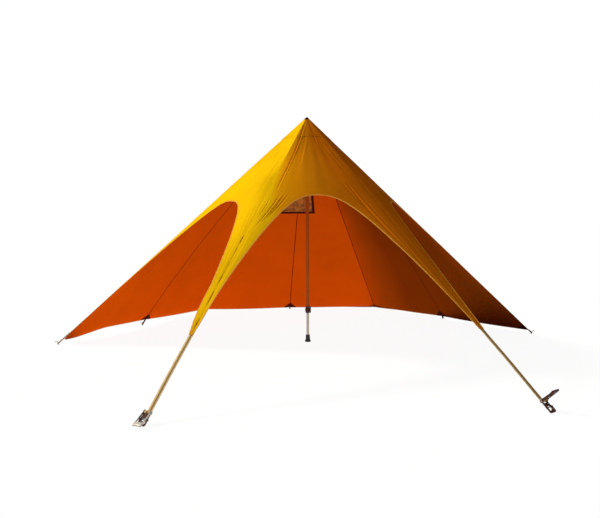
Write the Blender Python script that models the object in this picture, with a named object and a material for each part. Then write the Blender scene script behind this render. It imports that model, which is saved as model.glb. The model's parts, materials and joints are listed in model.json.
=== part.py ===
"""Star tent: a six-pointed pole tent with three closed sides and three arched doorways.

Metres, +Z up. The origin is on the ground under the pole, and the front faces -Y.
"""
from math import asin, atan2, ceil, cos, degrees, hypot, pi, radians, sin, tan

import bmesh
import bpy
from mathutils import Matrix, Vector

# Clearance that touching pieces keep
GAP = 0.0003
SLIDING_PLAY = 0.0006

# Canopy
PEAK_HEIGHT = 2.70
REAR_REACH = 2.81
FRONT_LEFT_REACH = 3.15
FRONT_RIGHT_REACH = 3.24
FRONT_RIGHT_SWING = 0.7
FABRIC = 0.003
FRONT_ARCH_HEIGHT = 1.745
SIDE_ARCH_HEIGHT = 1.678
ARCH_SPREAD = 2.67
FRONT_ARCH_RISE = 0.365
SIDE_ARCH_RISE = 0.327
OPEN_FLATNESS = 0.68
WALL_FLATTENING = 1.30
HEM_HEIGHT = 0.034
HEM_SAG = 0.012
LEFT_CORNER_REACH = 2.91
LEFT_CORNER_LIFT = 0.106
LEFT_CORNER_SWING = 4.0
RIGHT_CORNER_REACH = 2.90
RIGHT_CORNER_LIFT = 0.018
RIGHT_CORNER_SWING = 1.2
PANEL_TOP_DROP = 0.0972
LEG_TIP_HEIGHT = 0.62
ARCH_TAPE_WIDTH = 0.012
ARCH_TAPE_THICKNESS = 0.004
ARCH_TAPE_GAP = 0.0005
PLEAT_DEPTH = 0.007
PLEATS = 3

# How finely the canopy is divided
ARCH_STEPS = 26
FAN_ROWS = 6
WALL_COLUMNS = 6
WALL_ROWS = 8

# Sides of the round pieces that fit in each other
TUBE_STEPS = 24
SHAFT_STEPS = 16
PIN_STEPS = 12

# Peak
CROWN_TOP_DROP = 0.054
CROWN_DROP = 0.270
CROWN_MARGIN = 0.027
CROWN_GAP = 0.0006
CUP_TOP_DROP = 0.046
CUP_ROOF_DROP = 0.072
CUP_DROP = 0.135
CUP_GAP = 0.0008
CUP_WALL = 0.004
CUP_RIB = 0.003
SPIGOT_RADIUS = 0.012
SPIGOT_LENGTH = 0.045

# Vent window in the back wall
VENT_WIDTH = 0.38
VENT_LOW = 1.57
VENT_HIGH = 1.83
VENT_FRAME_WIDTH = 0.022
VENT_FRAME_THICKNESS = 0.002
VENT_FRAME_GAP = 0.0018

# Hem patches
PATCH_WIDTH = 0.20
PATCH_HEIGHT = 0.10
PATCH_MARGIN = 0.016
PATCH_THICKNESS = 0.0015
PATCH_GAP = 0.0007
PATCH_TIP = 0.12

# Pole
UPPER_TUBE_RADIUS = 0.020
UPPER_TUBE_WALL = 0.0017
UPPER_TUBE_BOTTOM = 0.376
GLIDE_ROOM = 0.0018
LOWER_TUBE_WALL = 0.0016
LOWER_TUBE_TOP = 1.450
TUBE_PLAY = 0.0004
BUSH_LENGTH = 0.045
BUSH_CAP = 0.005
PLUG_DEPTH = 0.050
FLANGE_THICKNESS = 0.006
FLANGE_OVERHANG = 0.004
FOOT_RADIUS = 0.036
FOOT_SHOULDER = 0.031
FOOT_RIM_HEIGHT = 0.012
FOOT_SHOULDER_HEIGHT = 0.020
FOOT_NECK_WALL = 0.006
FOOT_HEIGHT = 0.085
FOOT_FLOOR = 0.010
COLLAR_WALL = 0.0065
COLLAR_HEIGHT = 0.080
COLLAR_LEDGE = 0.022
COLLAR_SLIT = 0.0024
LEVER_THICKNESS = 0.006
LEVER_HEIGHT = 0.042
LEVER_SPAN = 150.0
LEVER_GAP = 0.0015
LEVER_PIN_RADIUS = 0.003
LEVER_PIN_OFFSET = 0.0035
LEVER_EYE_WALL = 0.003
PIN_HEAD_HEIGHT = 0.0015

# Webbing and ratchets at the front corners
WEBBING_WIDTH = 0.045
WEBBING_THICKNESS = 0.0025
STRAP_OVERLAP = 0.22
ANCHOR_HEIGHT = 0.005
STAKE_LEAN = 35.0
STAKE_RADIUS = 0.008
STAKE_HEAD_RADIUS = 0.017
STAKE_HEAD_RISE = 0.0125
DRIVEN_DEPTH = 0.25
BASE_LENGTH = 0.064
BASE_FLOOR_FRONT = 0.024
BASE_TAIL_RADIUS = 0.0105
BASE_TAIL_DROP = 0.003
BOLT_RADIUS = 0.004
BOLT_HEAD_RADIUS = 0.0065
BOLT_HEAD_HEIGHT = 0.005
SHACKLE_LENGTH = 0.034
SHACKLE_ROD = 0.0035
SHACKLE_DEPTH = 0.0128
SHACKLE_CORNER = 0.010
SHACKLE_EYE = 0.0075
ROLL_RADIUS = 0.015
SHAFT_RADIUS = 0.006
SHAFT_END = 0.002
HUB_RADIUS = 0.0135
PLATE_THICKNESS = 0.0025
WHEEL_RADIUS = 0.020
WHEEL_TOOTH_DEPTH = 0.004
WHEEL_THICKNESS = 0.003
WHEEL_TEETH = 12
HANDLE_LENGTH = 0.150
HANDLE_CLOSED = 165.0
HANDLE_REST = {"left": 0.0, "right": 70.0}
GRIP_LENGTH = 0.040
PAWL_THICKNESS = 0.003
PAWL_DEPTH = 0.008
PAWL_TAB = 0.036
BASE_PAWL_TRAVEL = 0.007
BASE_PAWL_Z = -0.004
PAWL_PLAY = 0.0006

# Pegs along the hem
PEG_RADIUS = 0.004
PEG_LEAN = 20.0
PEG_HOOK_RADIUS = 0.014
PEG_RISE = 0.020
LOOP_WIDTH = 0.024
LOOP_BAND = 0.002
LOOP_DEPTH = 0.014
LOOP_END_HEIGHT = 0.010

# Corners, clockwise from the front left one as seen from above
CORNERS = ["front_left", "front_right", "right", "rear_right", "rear_left", "left"]
OPEN_SIDES = {0: "front", 1: "right", 5: "left"}
WALL_SIDES = {2: "right", 3: "back", 4: "left"}

# Sizes that follow from the ones above
PANEL_TOP = PANEL_TOP_DROP / PEAK_HEIGHT
CROWN_REACH = (CROWN_DROP + CROWN_MARGIN) / PEAK_HEIGHT
CUP_BOTTOM = PEAK_HEIGHT - CUP_DROP
SLOPE_LENGTH = hypot(REAR_REACH, PEAK_HEIGHT)
PATCH_BASE = PATCH_MARGIN / SLOPE_LENGTH
PATCH_TOP = (PATCH_MARGIN + PATCH_HEIGHT) / SLOPE_LENGTH
LOWER_TUBE_RADIUS = UPPER_TUBE_RADIUS - UPPER_TUBE_WALL - GLIDE_ROOM
ROLL_HALF = WEBBING_WIDTH / 2 + GAP
BASE_INNER = WEBBING_WIDTH / 2 + PLATE_THICKNESS
BASE_OUTER = BASE_INNER + PLATE_THICKNESS
WHEEL_INNER = BASE_OUTER + SLIDING_PLAY
WHEEL_OUTER = WHEEL_INNER + WHEEL_THICKNESS
ARM_INNER = WHEEL_OUTER + SLIDING_PLAY
ARM_OUTER = ARM_INNER + PLATE_THICKNESS
HUB_HOLE = SHAFT_RADIUS / cos(pi / SHAFT_STEPS) + GAP
BASE_PAWL_FRONT = -(WHEEL_RADIUS + PAWL_PLAY)
BASE_PAWL_BACK = BASE_PAWL_FRONT - PAWL_DEPTH
SHACKLE_INNER = BASE_OUTER + SLIDING_PLAY
SHACKLE_OUTER = SHACKLE_INNER + 2 * SHACKLE_ROD

for old in list(bpy.data.objects):
    bpy.data.objects.remove(old, do_unlink=True)


# Materials

def material(name, colour, roughness, metallic=0.0):
    made = bpy.data.materials.new(name)
    made.use_nodes = True
    shader = made.node_tree.nodes["Principled BSDF"]
    shader.inputs["Base Color"].default_value = (*colour, 1.0)
    shader.inputs["Roughness"].default_value = roughness
    shader.inputs["Metallic"].default_value = metallic
    return made


YELLOW = (0.90, 0.55, 0.02)
AMBER = (0.42, 0.20, 0.06)
MAROON = (0.10, 0.02, 0.015)
OLIVE_METAL = (0.30, 0.25, 0.17)
PALE_METAL = (0.62, 0.58, 0.52)
GALVANISED = (0.62, 0.61, 0.58)
DARK_STEEL = (0.12, 0.09, 0.07)
BLACK = (0.03, 0.03, 0.03)


# Building blocks

def face_outwards(body):
    bmesh.ops.recalc_face_normals(body, faces=body.faces)
    if body.calc_volume(signed=True) < 0.0:
        bmesh.ops.reverse_faces(body, faces=body.faces)


def finish(name, mesh_builder, colour, roughness, metallic=0.0, parent=None, smooth=None):
    """Turn a bmesh into a named object with its own material."""
    face_outwards(mesh_builder)
    mesh = bpy.data.meshes.new(name)
    mesh_builder.to_mesh(mesh)
    mesh_builder.free()
    if smooth is not None:
        mesh.shade_smooth()
        mesh.set_sharp_from_angle(angle=radians(smooth))
    made = bpy.data.objects.new(name, mesh)
    bpy.context.collection.objects.link(made)
    mesh.materials.append(material(name, colour, roughness, metallic))
    made.parent = parent
    return made


def add_prism(target, outline, low, high, place=lambda x, y, z: Vector((x, y, z))):
    """Extrude a closed (x, z) outline from y = low to y = high."""
    near = [target.verts.new(place(x, low, z)) for x, z in outline]
    far = [target.verts.new(place(x, high, z)) for x, z in outline]
    target.faces.new(near)
    target.faces.new(reversed(far))
    for index in range(len(outline)):
        after = (index + 1) % len(outline)
        target.faces.new((near[after], near[index], far[index], far[after]))


def add_ring_prism(target, outer, inner, low, high, place=lambda x, y, z: Vector((x, y, z))):
    """Extrude the band between two outlines that have the same number of points."""
    loops = []
    for outline, y in ((outer, low), (outer, high), (inner, high), (inner, low)):
        loops.append([target.verts.new(place(px, y, pz)) for px, pz in outline])
    count = len(outer)
    for first, second in zip(loops, loops[1:] + loops[:1]):
        for index in range(count):
            after = (index + 1) % count
            target.faces.new((first[index], first[after], second[after], second[index]))


def add_turned(target, profile, steps, place=lambda x, y, z: Vector((x, y, z))):
    """Turn a closed (radius, height) profile about the Z axis; radius 0 closes it on the axis."""
    rings = []
    for radius, height in profile:
        if radius == 0.0:
            rings.append([target.verts.new(place(0.0, 0.0, height))])
            continue
        angles = [2 * pi * step / steps for step in range(steps)]
        rings.append([target.verts.new(place(radius * cos(a), radius * sin(a), height)) for a in angles])
    for first, second in zip(rings, rings[1:] + rings[:1]):
        if len(first) == 1 and len(second) == 1:
            continue
        for step in range(steps):
            after = (step + 1) % steps
            corners = [first[step % len(first)], first[after % len(first)],
                       second[after % len(second)], second[step % len(second)]]
            target.faces.new(list(dict.fromkeys(corners)))


def turned(name, profile, steps, colour, roughness, metallic=0.0, parent=None):
    body = bmesh.new()
    add_turned(body, profile, steps)
    return finish(name, body, colour, roughness, metallic, parent, smooth=35)


def combine(target, helper_mesh, operation, parent=None):
    """Cut a closed bmesh out of an object, or join it on, with a Boolean modifier."""
    face_outwards(helper_mesh)
    name = f"{target.name}_{operation.lower()}"
    mesh = bpy.data.meshes.new(name)
    helper_mesh.to_mesh(mesh)
    helper_mesh.free()
    helper = bpy.data.objects.new(name, mesh)
    bpy.context.collection.objects.link(helper)
    helper.parent = parent
    helper.hide_render = True
    helper.display_type = "WIRE"
    modifier = target.modifiers.new(operation.lower(), "BOOLEAN")
    modifier.object = helper
    modifier.operation = operation
    modifier.solver = "EXACT"


def cut(target, helper_mesh, parent=None):
    combine(target, helper_mesh, "DIFFERENCE", parent)


def join(target, helper_mesh, parent=None):
    combine(target, helper_mesh, "UNION", parent)


def arc(centre_x, centre_z, radius, start, end, steps):
    """Points on an arc, angles in degrees from +x towards +z."""
    angles = [radians(start + (end - start) * step / steps) for step in range(steps + 1)]
    return [(centre_x + radius * cos(a), centre_z + radius * sin(a)) for a in angles]


def box_outline(low_x, high_x, low_z, high_z):
    return [(low_x, low_z), (high_x, low_z), (high_x, high_z), (low_x, high_z)]


def empty(name, matrix, parent=None):
    made = bpy.data.objects.new(name, None)
    bpy.context.collection.objects.link(made)
    made.parent = parent
    made.matrix_local = matrix
    return made


# The canopy's surface: rays run from the peak to the six corners, and a panel spans two of them

def ray(corner):
    """Azimuth from -Y towards +X in degrees, reach on the ground, height of the corner."""
    azimuth = -30.0 + 60.0 * corner
    if CORNERS[corner] == "left":
        return azimuth - LEFT_CORNER_SWING, LEFT_CORNER_REACH, LEFT_CORNER_LIFT
    if CORNERS[corner] == "right":
        return azimuth + RIGHT_CORNER_SWING, RIGHT_CORNER_REACH, RIGHT_CORNER_LIFT
    if CORNERS[corner] == "front_right":
        return azimuth - FRONT_RIGHT_SWING, FRONT_RIGHT_REACH, 0.0
    return azimuth, FRONT_LEFT_REACH if CORNERS[corner] == "front_left" else REAR_REACH, 0.0


def ray_point(along, share):
    azimuth, reach, end_height = along
    angle = radians(azimuth)
    height = PEAK_HEIGHT + (end_height - PEAK_HEIGHT) * share
    return Vector((reach * share * sin(angle), -reach * share * cos(angle), height))


def panel_rays(side):
    first = ray(side)
    second = ray((side + 1) % 6)
    if second[0] < first[0]:
        second = (second[0] + 360.0, second[1], second[2])
    return first, second


def ease(value):
    value = min(max(value, 0.0), 1.0)
    return value * value * (3.0 - 2.0 * value)


def flatness(side, share):
    """1 is flat between two rays and 0 is round; the peak is a flat-sided pyramid."""
    lower = OPEN_FLATNESS if side in OPEN_SIDES else share ** WALL_FLATTENING
    blend = ease((share - CROWN_REACH) / 0.2)
    return (1.0 - blend) + blend * lower


def smooth_point(side, across, share):
    first, second = panel_rays(side)
    part = (across + 1.0) / 2.0
    flat = ray_point(first, share).lerp(ray_point(second, share), part)
    between = [a + (b - a) * part for a, b in zip(first, second)]
    return ray_point(between, share).lerp(flat, flatness(side, share))


def outward(side, across, share):
    """Unit normal of the canopy in the upright plane through the pole."""
    step = 0.004
    here = smooth_point(side, across, share)
    run = smooth_point(side, across, share + step) - smooth_point(side, across, share - step)
    radial = Vector((here.x, here.y, 0.0)).normalized()
    return (radial * -run.z + Vector((0.0, 0.0, run.dot(radial)))).normalized()


def pleat(side, across, share):
    """Depth of the soft pleats that fan out below the crown of an open side."""
    if side not in OPEN_SIDES:
        return 0.0
    fan = ease((share - CROWN_REACH) / 0.08) * (1.0 - ease((share - 0.22) / 0.16))
    return PLEAT_DEPTH * fan * sin(PLEATS * pi * across) ** 2


def canopy_point(side, across, share, lift=0.0):
    normal = outward(side, across, share)
    return smooth_point(side, across, share) + normal * (lift - pleat(side, across, share))


def sideways(side, across, share):
    """Unit vector round the pole, towards the next ray."""
    here = smooth_point(side, across, share)
    return Vector((-here.y, here.x, 0.0)).normalized()


def add_sheet(target, nodes, faces, lifts):
    """Close a grid of (side, across, share, shift) nodes into a sheet between two lifts.

    shift moves a node round the pole, so that neighbours keep a gap at their seam. Both skins are
    split along the same diagonals, because a twisted quad's two diagonals lie further apart than the skins.
    """
    levels = []
    for lift in lifts:
        level = {}
        for key, (side, across, share, shift) in nodes.items():
            place = canopy_point(side, across, share, lift) + sideways(side, across, share) * shift
            level[key] = target.verts.new(place)
        levels.append(level)
    upper, lower = levels
    used = {}
    for face in faces:
        for half in (face[:3], [face[0], face[2], face[3]]):
            target.faces.new([upper[key] for key in half])
            target.faces.new([lower[key] for key in reversed(half)])
        for start, end in zip(face, face[1:] + face[:1]):
            used[(start, end)] = True
    for start, end in used:
        if (end, start) not in used:
            target.faces.new((upper[end], upper[start], lower[start], lower[end]))


def seam_shift(column, last):
    """Half a gap away from the seam on a panel's first and last column."""
    if column == 0:
        return GAP / 2
    return -GAP / 2 if column == last else 0.0


def grid_faces(columns, rows, skip=lambda column, row: False):
    """Quads of a grid whose keys are (column, row)."""
    faces = []
    for column in range(columns):
        for row in range(rows):
            if not skip(column, row):
                faces.append([(column, row), (column, row + 1), (column + 1, row + 1), (column + 1, row)])
    return faces


# Open sides

def arch_share(side, across):
    """Distance down the canopy at which the doorway's edge lies."""
    height = FRONT_ARCH_HEIGHT if side == 0 else SIDE_ARCH_HEIGHT
    rise = FRONT_ARCH_RISE if side == 0 else SIDE_ARCH_RISE
    return 1.0 - height / PEAK_HEIGHT * (1.0 - abs(across) ** ARCH_SPREAD) ** rise


def arch_limit(side):
    """How far across the arch runs before the leg gets too narrow."""
    height = FRONT_ARCH_HEIGHT if side == 0 else SIDE_ARCH_HEIGHT
    rise = FRONT_ARCH_RISE if side == 0 else SIDE_ARCH_RISE
    return (1.0 - (LEG_TIP_HEIGHT / height) ** (1.0 / rise)) ** (1.0 / ARCH_SPREAD)


def arch_line(side, count):
    """Evenly spaced (across, share) pairs along the doorway's edge."""
    limit = arch_limit(side)
    fine = 400
    samples = []
    for index in range(fine + 1):
        turn = -1.0 + 2.0 * index / fine
        across = limit * (1.0 - (1.0 - abs(turn)) ** 2.5) * (1.0 if turn > 0 else -1.0)
        samples.append((across, arch_share(side, across)))
    places = [smooth_point(side, *sample) for sample in samples]
    travelled = [0.0]
    for first, second in zip(places, places[1:]):
        travelled.append(travelled[-1] + (second - first).length)
    line = []
    cursor = 0
    for index in range(count + 1):
        wanted = travelled[-1] * index / count
        while cursor < fine - 1 and travelled[cursor + 1] < wanted:
            cursor += 1
        part = (wanted - travelled[cursor]) / (travelled[cursor + 1] - travelled[cursor])
        start, end = samples[cursor], samples[cursor + 1]
        line.append((start[0] + (end[0] - start[0]) * part, start[1] + (end[1] - start[1]) * part))
    return line


def inset(side, line, distance):
    """Move a line of (across, share) pairs into the fabric, measured on the surface."""
    moved = []
    for index, (across, share) in enumerate(line):
        before = smooth_point(side, *line[max(index - 1, 0)])
        after = smooth_point(side, *line[min(index + 1, len(line) - 1)])
        step = 0.001
        here = smooth_point(side, across, share)
        by_across = (smooth_point(side, across + step, share) - here) / step
        by_share = (smooth_point(side, across, share + step) - here) / step
        normal = by_share.cross(by_across).normalized()
        push = normal.cross(after - before).normalized() * distance
        grid = Matrix(((by_across.dot(by_across), by_across.dot(by_share)),
                       (by_across.dot(by_share), by_share.dot(by_share))))
        change = grid.inverted() @ Vector((by_across.dot(push), by_share.dot(push)))
        moved.append((across + change[0], share + change[1]))
    return moved


def open_panel(side):
    """Fabric over a doorway: columns fan from the crown out to the arch's edge."""
    edge = inset(side, arch_line(side, ARCH_STEPS), ARCH_TAPE_WIDTH + ARCH_TAPE_GAP)
    tip_share = edge[0][1]
    ends = [(-1.0, tip_share)] + edge + [(1.0, tip_share)]
    last = len(ends) - 1
    nodes = {}
    for column, (across_end, share_end) in enumerate(ends):
        across_top = -1.0 + 2.0 * column / last
        nodes[column, 0] = (side, across_top, PANEL_TOP, seam_shift(column, last))
        for row in range(1, FAN_ROWS + 1):
            part = (row - 1) / (FAN_ROWS - 1)
            across = across_top + (across_end - across_top) * part
            share = CROWN_REACH + (share_end - CROWN_REACH) * part
            nodes[column, row] = (side, across, share, seam_shift(column, last))
    body = bmesh.new()
    add_sheet(body, nodes, grid_faces(last, FAN_ROWS), (FABRIC / 2, -FABRIC / 2))
    finish(OPEN_SIDES[side] + "_arch_panel", body, YELLOW, 0.8, smooth=40)


def arch_tape(side):
    """Folded tape along the doorway's edge."""
    outer = arch_line(side, ARCH_STEPS)
    inner = inset(side, outer, ARCH_TAPE_WIDTH)
    nodes = {}
    for column, (first, second) in enumerate(zip(outer, inner)):
        nodes[column, 0] = (side, second[0], second[1], 0.0)
        nodes[column, 1] = (side, first[0], first[1], 0.0)
    body = bmesh.new()
    faces = grid_faces(ARCH_STEPS, 1)
    add_sheet(body, nodes, faces, (ARCH_TAPE_THICKNESS / 2, -ARCH_TAPE_THICKNESS / 2))
    finish(OPEN_SIDES[side] + "_arch_tape", body, YELLOW, 0.7, smooth=40)


# Closed sides

def share_at(side, across, height):
    first, second = panel_rays(side)
    part = (across + 1.0) / 2.0
    end_height = first[2] + (second[2] - first[2]) * part
    return (PEAK_HEIGHT - height) / (PEAK_HEIGHT - end_height)


def hem_share(side, across):
    """Distance down the canopy of the hem, which lifts a little between its pegs."""
    first, second = panel_rays(side)
    part = (across + 1.0) / 2.0
    end_height = first[2] + (second[2] - first[2]) * part
    way = abs(across)
    sag = HEM_SAG * 4.0 * way * (1.0 - way)
    return share_at(side, across, end_height + HEM_HEIGHT - sag)


def width_share(side, width, share):
    """A width at one distance down the canopy, as a share of half the panel's width."""
    half_panel = (smooth_point(side, 0.1, share) - smooth_point(side, -0.1, share)).length / 0.2
    return width / half_panel


def vent_across():
    middle = share_at(3, 0.0, (VENT_LOW + VENT_HIGH) / 2)
    return width_share(3, VENT_WIDTH / 2, middle)


def patch_across(side):
    return width_share(side, PATCH_WIDTH / 2, hem_share(side, 0.0))


def wall_panel(side, half):
    """One of a closed side's two gores; half is -1 before the middle seam and 1 after it."""
    has_vent = WALL_SIDES[side] == "back"
    fixed = [0.0, patch_across(side)]
    marks = []
    if has_vent:
        fixed += [vent_across(), vent_across() * (1.0 + VENT_FRAME_WIDTH / (VENT_WIDTH / 2))]
        high, low = share_at(side, 0.0, VENT_HIGH), share_at(side, 0.0, VENT_LOW)
        fall = VENT_FRAME_WIDTH / SLOPE_LENGTH
        marks = [high - fall, high, low, low + fall]
    plain = ceil(WALL_COLUMNS * (1.0 - fixed[-1]))
    acrosses = fixed + [fixed[-1] + (1.0 - fixed[-1]) * (column + 1) / plain for column in range(plain)]
    acrosses = [half * across for across in acrosses][::half]
    last = len(acrosses) - 1
    top_rows = [PANEL_TOP, CROWN_REACH]
    first_low = marks[-1] if marks else CROWN_REACH
    low_rows = ceil(WALL_ROWS * (1.0 - first_low))
    nodes = {}
    for column, across in enumerate(acrosses):
        hem = hem_share(side, across)
        shares = list(top_rows)
        if marks:
            shares += [(CROWN_REACH + marks[0]) / 2] + marks
        above_patch = hem - PATCH_TOP
        shares += [first_low + (above_patch - first_low) * (row + 1) / low_rows for row in range(low_rows)]
        shares += [hem - PATCH_BASE, hem]
        for row, share in enumerate(shares):
            nodes[column, row] = (side, across, share, seam_shift(column, last))
    vent_columns = (0, 1) if half > 0 else (last - 1, last - 2)
    faces = grid_faces(last, len(shares) - 1,
                       lambda column, row: has_vent and column in vent_columns and row == 4)
    body = bmesh.new()
    add_sheet(body, nodes, faces, (FABRIC / 2, -FABRIC / 2))
    order = "first" if half < 0 else "second"
    finish(f"{WALL_SIDES[side]}_wall_{order}_gore", body, YELLOW, 0.8, smooth=40)


def vent_window():
    """Clear window in the back wall, with its binding on the inside."""
    side = 3
    low = share_at(side, 0.0, VENT_LOW)
    high = share_at(side, 0.0, VENT_HIGH)
    half = vent_across()
    span = VENT_WIDTH / 2
    trim = 2 * GAP / span * half
    drop = 2 * GAP / SLOPE_LENGTH
    nodes = {}
    middle = patch_across(side)
    columns = (-half + trim, -middle, 0.0, middle, half - trim)
    for column, across in enumerate(columns):
        nodes[column, 0] = (side, across, high + drop, 0.0)
        nodes[column, 1] = (side, across, low - drop, 0.0)
    body = bmesh.new()
    add_sheet(body, nodes, grid_faces(len(columns) - 1, 1), (FABRIC / 4, -FABRIC / 4))
    finish("vent_window", body, AMBER, 0.3, smooth=40)

    reach = half * VENT_FRAME_WIDTH / span
    fall = VENT_FRAME_WIDTH / SLOPE_LENGTH
    acrosses = (-half - reach, -half + reach, -middle, 0.0, middle, half - reach, half + reach)
    last = len(acrosses) - 1
    shares = (high - fall, high + fall, low - fall, low + fall)
    nodes = {}
    for column, across in enumerate(acrosses):
        for row, share in enumerate(shares):
            nodes[column, row] = (side, across, share, 0.0)
    body = bmesh.new()
    top = -FABRIC / 2 - VENT_FRAME_GAP
    faces = grid_faces(last, 3, lambda column, row: 0 < column < last - 1 and row == 1)
    add_sheet(body, nodes, faces, (top, top - VENT_FRAME_THICKNESS))
    finish("vent_binding", body, MAROON, 0.7, smooth=40)


def hem_patch(side):
    """Triangular reinforcement inside the wall, over the peg in the middle of its hem."""
    half = patch_across(side)
    tip = half * PATCH_TIP
    top = -FABRIC / 2 - PATCH_GAP
    nodes = {}
    for column, across in enumerate((-half, 0.0, half)):
        nodes["base", column] = (side, across, hem_share(side, across) - PATCH_BASE, 0.0)
    for column, across in enumerate((-tip, 0.0, tip)):
        nodes["tip", column] = (side, across, hem_share(side, across) - PATCH_TOP, 0.0)
    faces = [[("tip", column), ("base", column), ("base", column + 1), ("tip", column + 1)]
             for column in (0, 1)]
    body = bmesh.new()
    add_sheet(body, nodes, faces, (top, top - PATCH_THICKNESS))
    finish(f"{WALL_SIDES[side]}_hem_patch", body, MAROON, 0.7)


# Peak

def peak_shell(name, shares, lifts, colour):
    """Flat-sided cone round the peak, closed at the tip."""
    body = bmesh.new()
    levels = []
    for lift in lifts:
        rows = [[body.verts.new(canopy_point(corner, -1.0, share, lift)) for corner in range(6)]
                for share in shares]
        slope = outward(0, -1.0, CROWN_REACH)
        tip = body.verts.new((0.0, 0.0, PEAK_HEIGHT + lift / slope.z - FABRIC / slope.z))
        levels.append((tip, rows))
    for tip, rows in levels:
        for corner in range(6):
            after = (corner + 1) % 6
            body.faces.new((tip, rows[0][corner], rows[0][after]))
            for first, second in zip(rows, rows[1:]):
                body.faces.new((first[corner], second[corner], second[after], first[after]))
    for corner in range(6):
        after = (corner + 1) % 6
        upper, lower = levels[0][1][-1], levels[1][1][-1]
        body.faces.new((upper[corner], lower[corner], lower[after], upper[after]))
    return finish(name, body, colour, 0.7)


def crown():
    inner = FABRIC / 2 + CROWN_GAP
    shares = [CROWN_TOP_DROP / PEAK_HEIGHT, CROWN_DROP / PEAK_HEIGHT]
    peak_shell("peak_crown", shares, (inner + FABRIC, inner), YELLOW)


def cup_ring(target, height, lift):
    """Six points at one height, under the rays of the canopy."""
    points = []
    for corner in range(6):
        start = canopy_point(corner, -1.0, CUP_DROP / PEAK_HEIGHT, lift)
        down_ray = smooth_point(corner, -1.0, 1.0) - Vector((0.0, 0.0, PEAK_HEIGHT))
        points.append(target.verts.new(start + down_ray * ((height - start.z) / down_ray.z)))
    return points


def add_frustum(target, tops, rims):
    target.faces.new(tops)
    target.faces.new(list(reversed(rims)))
    for corner in range(6):
        after = (corner + 1) % 6
        target.faces.new((tops[corner], rims[corner], rims[after], tops[after]))


def peak_cup():
    """Moulded cup that spreads the pole's push into the seams: hollow, with six ribs and a socket."""
    skin = -(FABRIC / 2 + CUP_GAP)
    roof = PEAK_HEIGHT - CUP_ROOF_DROP
    body = bmesh.new()
    top_ring = cup_ring(body, PEAK_HEIGHT - CUP_TOP_DROP, skin)
    add_frustum(body, top_ring, cup_ring(body, CUP_BOTTOM, skin))
    cup = finish("peak_cup", body, BLACK, 0.6, parent=bpy.data.objects["pole_slide"])
    below = CUP_BOTTOM - 0.01
    cavity = bmesh.new()
    add_frustum(cavity, cup_ring(cavity, roof, skin - CUP_WALL), cup_ring(cavity, below, skin - CUP_WALL))
    cut(cup, cavity)

    socket_radius = SPIGOT_RADIUS + TUBE_PLAY
    for corner in range(6):
        rib = bmesh.new()
        foot = canopy_point(corner, -1.0, CUP_DROP / PEAK_HEIGHT, skin - CUP_WALL / 2)
        along = Vector((foot.x, foot.y, 0.0)).normalized()
        across = Vector((-along.y, along.x, 0.0))
        ring = [cup_ring(rib, height, skin - CUP_WALL / 2)[corner].co.copy() for height in (CUP_BOTTOM, roof)]
        rib.clear()
        inner = socket_radius + CUP_WALL / 2
        overlap = CUP_WALL / 2
        outline = [(inner, CUP_BOTTOM), (ring[0].dot(along), CUP_BOTTOM),
                   (ring[1].dot(along), roof + overlap), (inner, roof + overlap)]
        add_prism(rib, outline, -CUP_RIB / 2, CUP_RIB / 2,
                  lambda x, y, z: along * x + across * y + Vector((0.0, 0.0, z)))
        join(cup, rib)
    boss = bmesh.new()
    boss_radius = socket_radius + CUP_WALL
    add_turned(boss, [(0.0, CUP_BOTTOM), (boss_radius, CUP_BOTTOM), (boss_radius, roof + overlap),
                      (0.0, roof + overlap)], TUBE_STEPS)
    join(cup, boss)
    socket = bmesh.new()
    top = CUP_BOTTOM + SPIGOT_LENGTH + 2 * GAP
    add_turned(socket, [(0.0, below), (socket_radius, below), (socket_radius, top), (0.0, top)], TUBE_STEPS)
    cut(cup, socket)


# Pole

def collar_bottom():
    return UPPER_TUBE_BOTTOM - COLLAR_LEDGE


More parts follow.
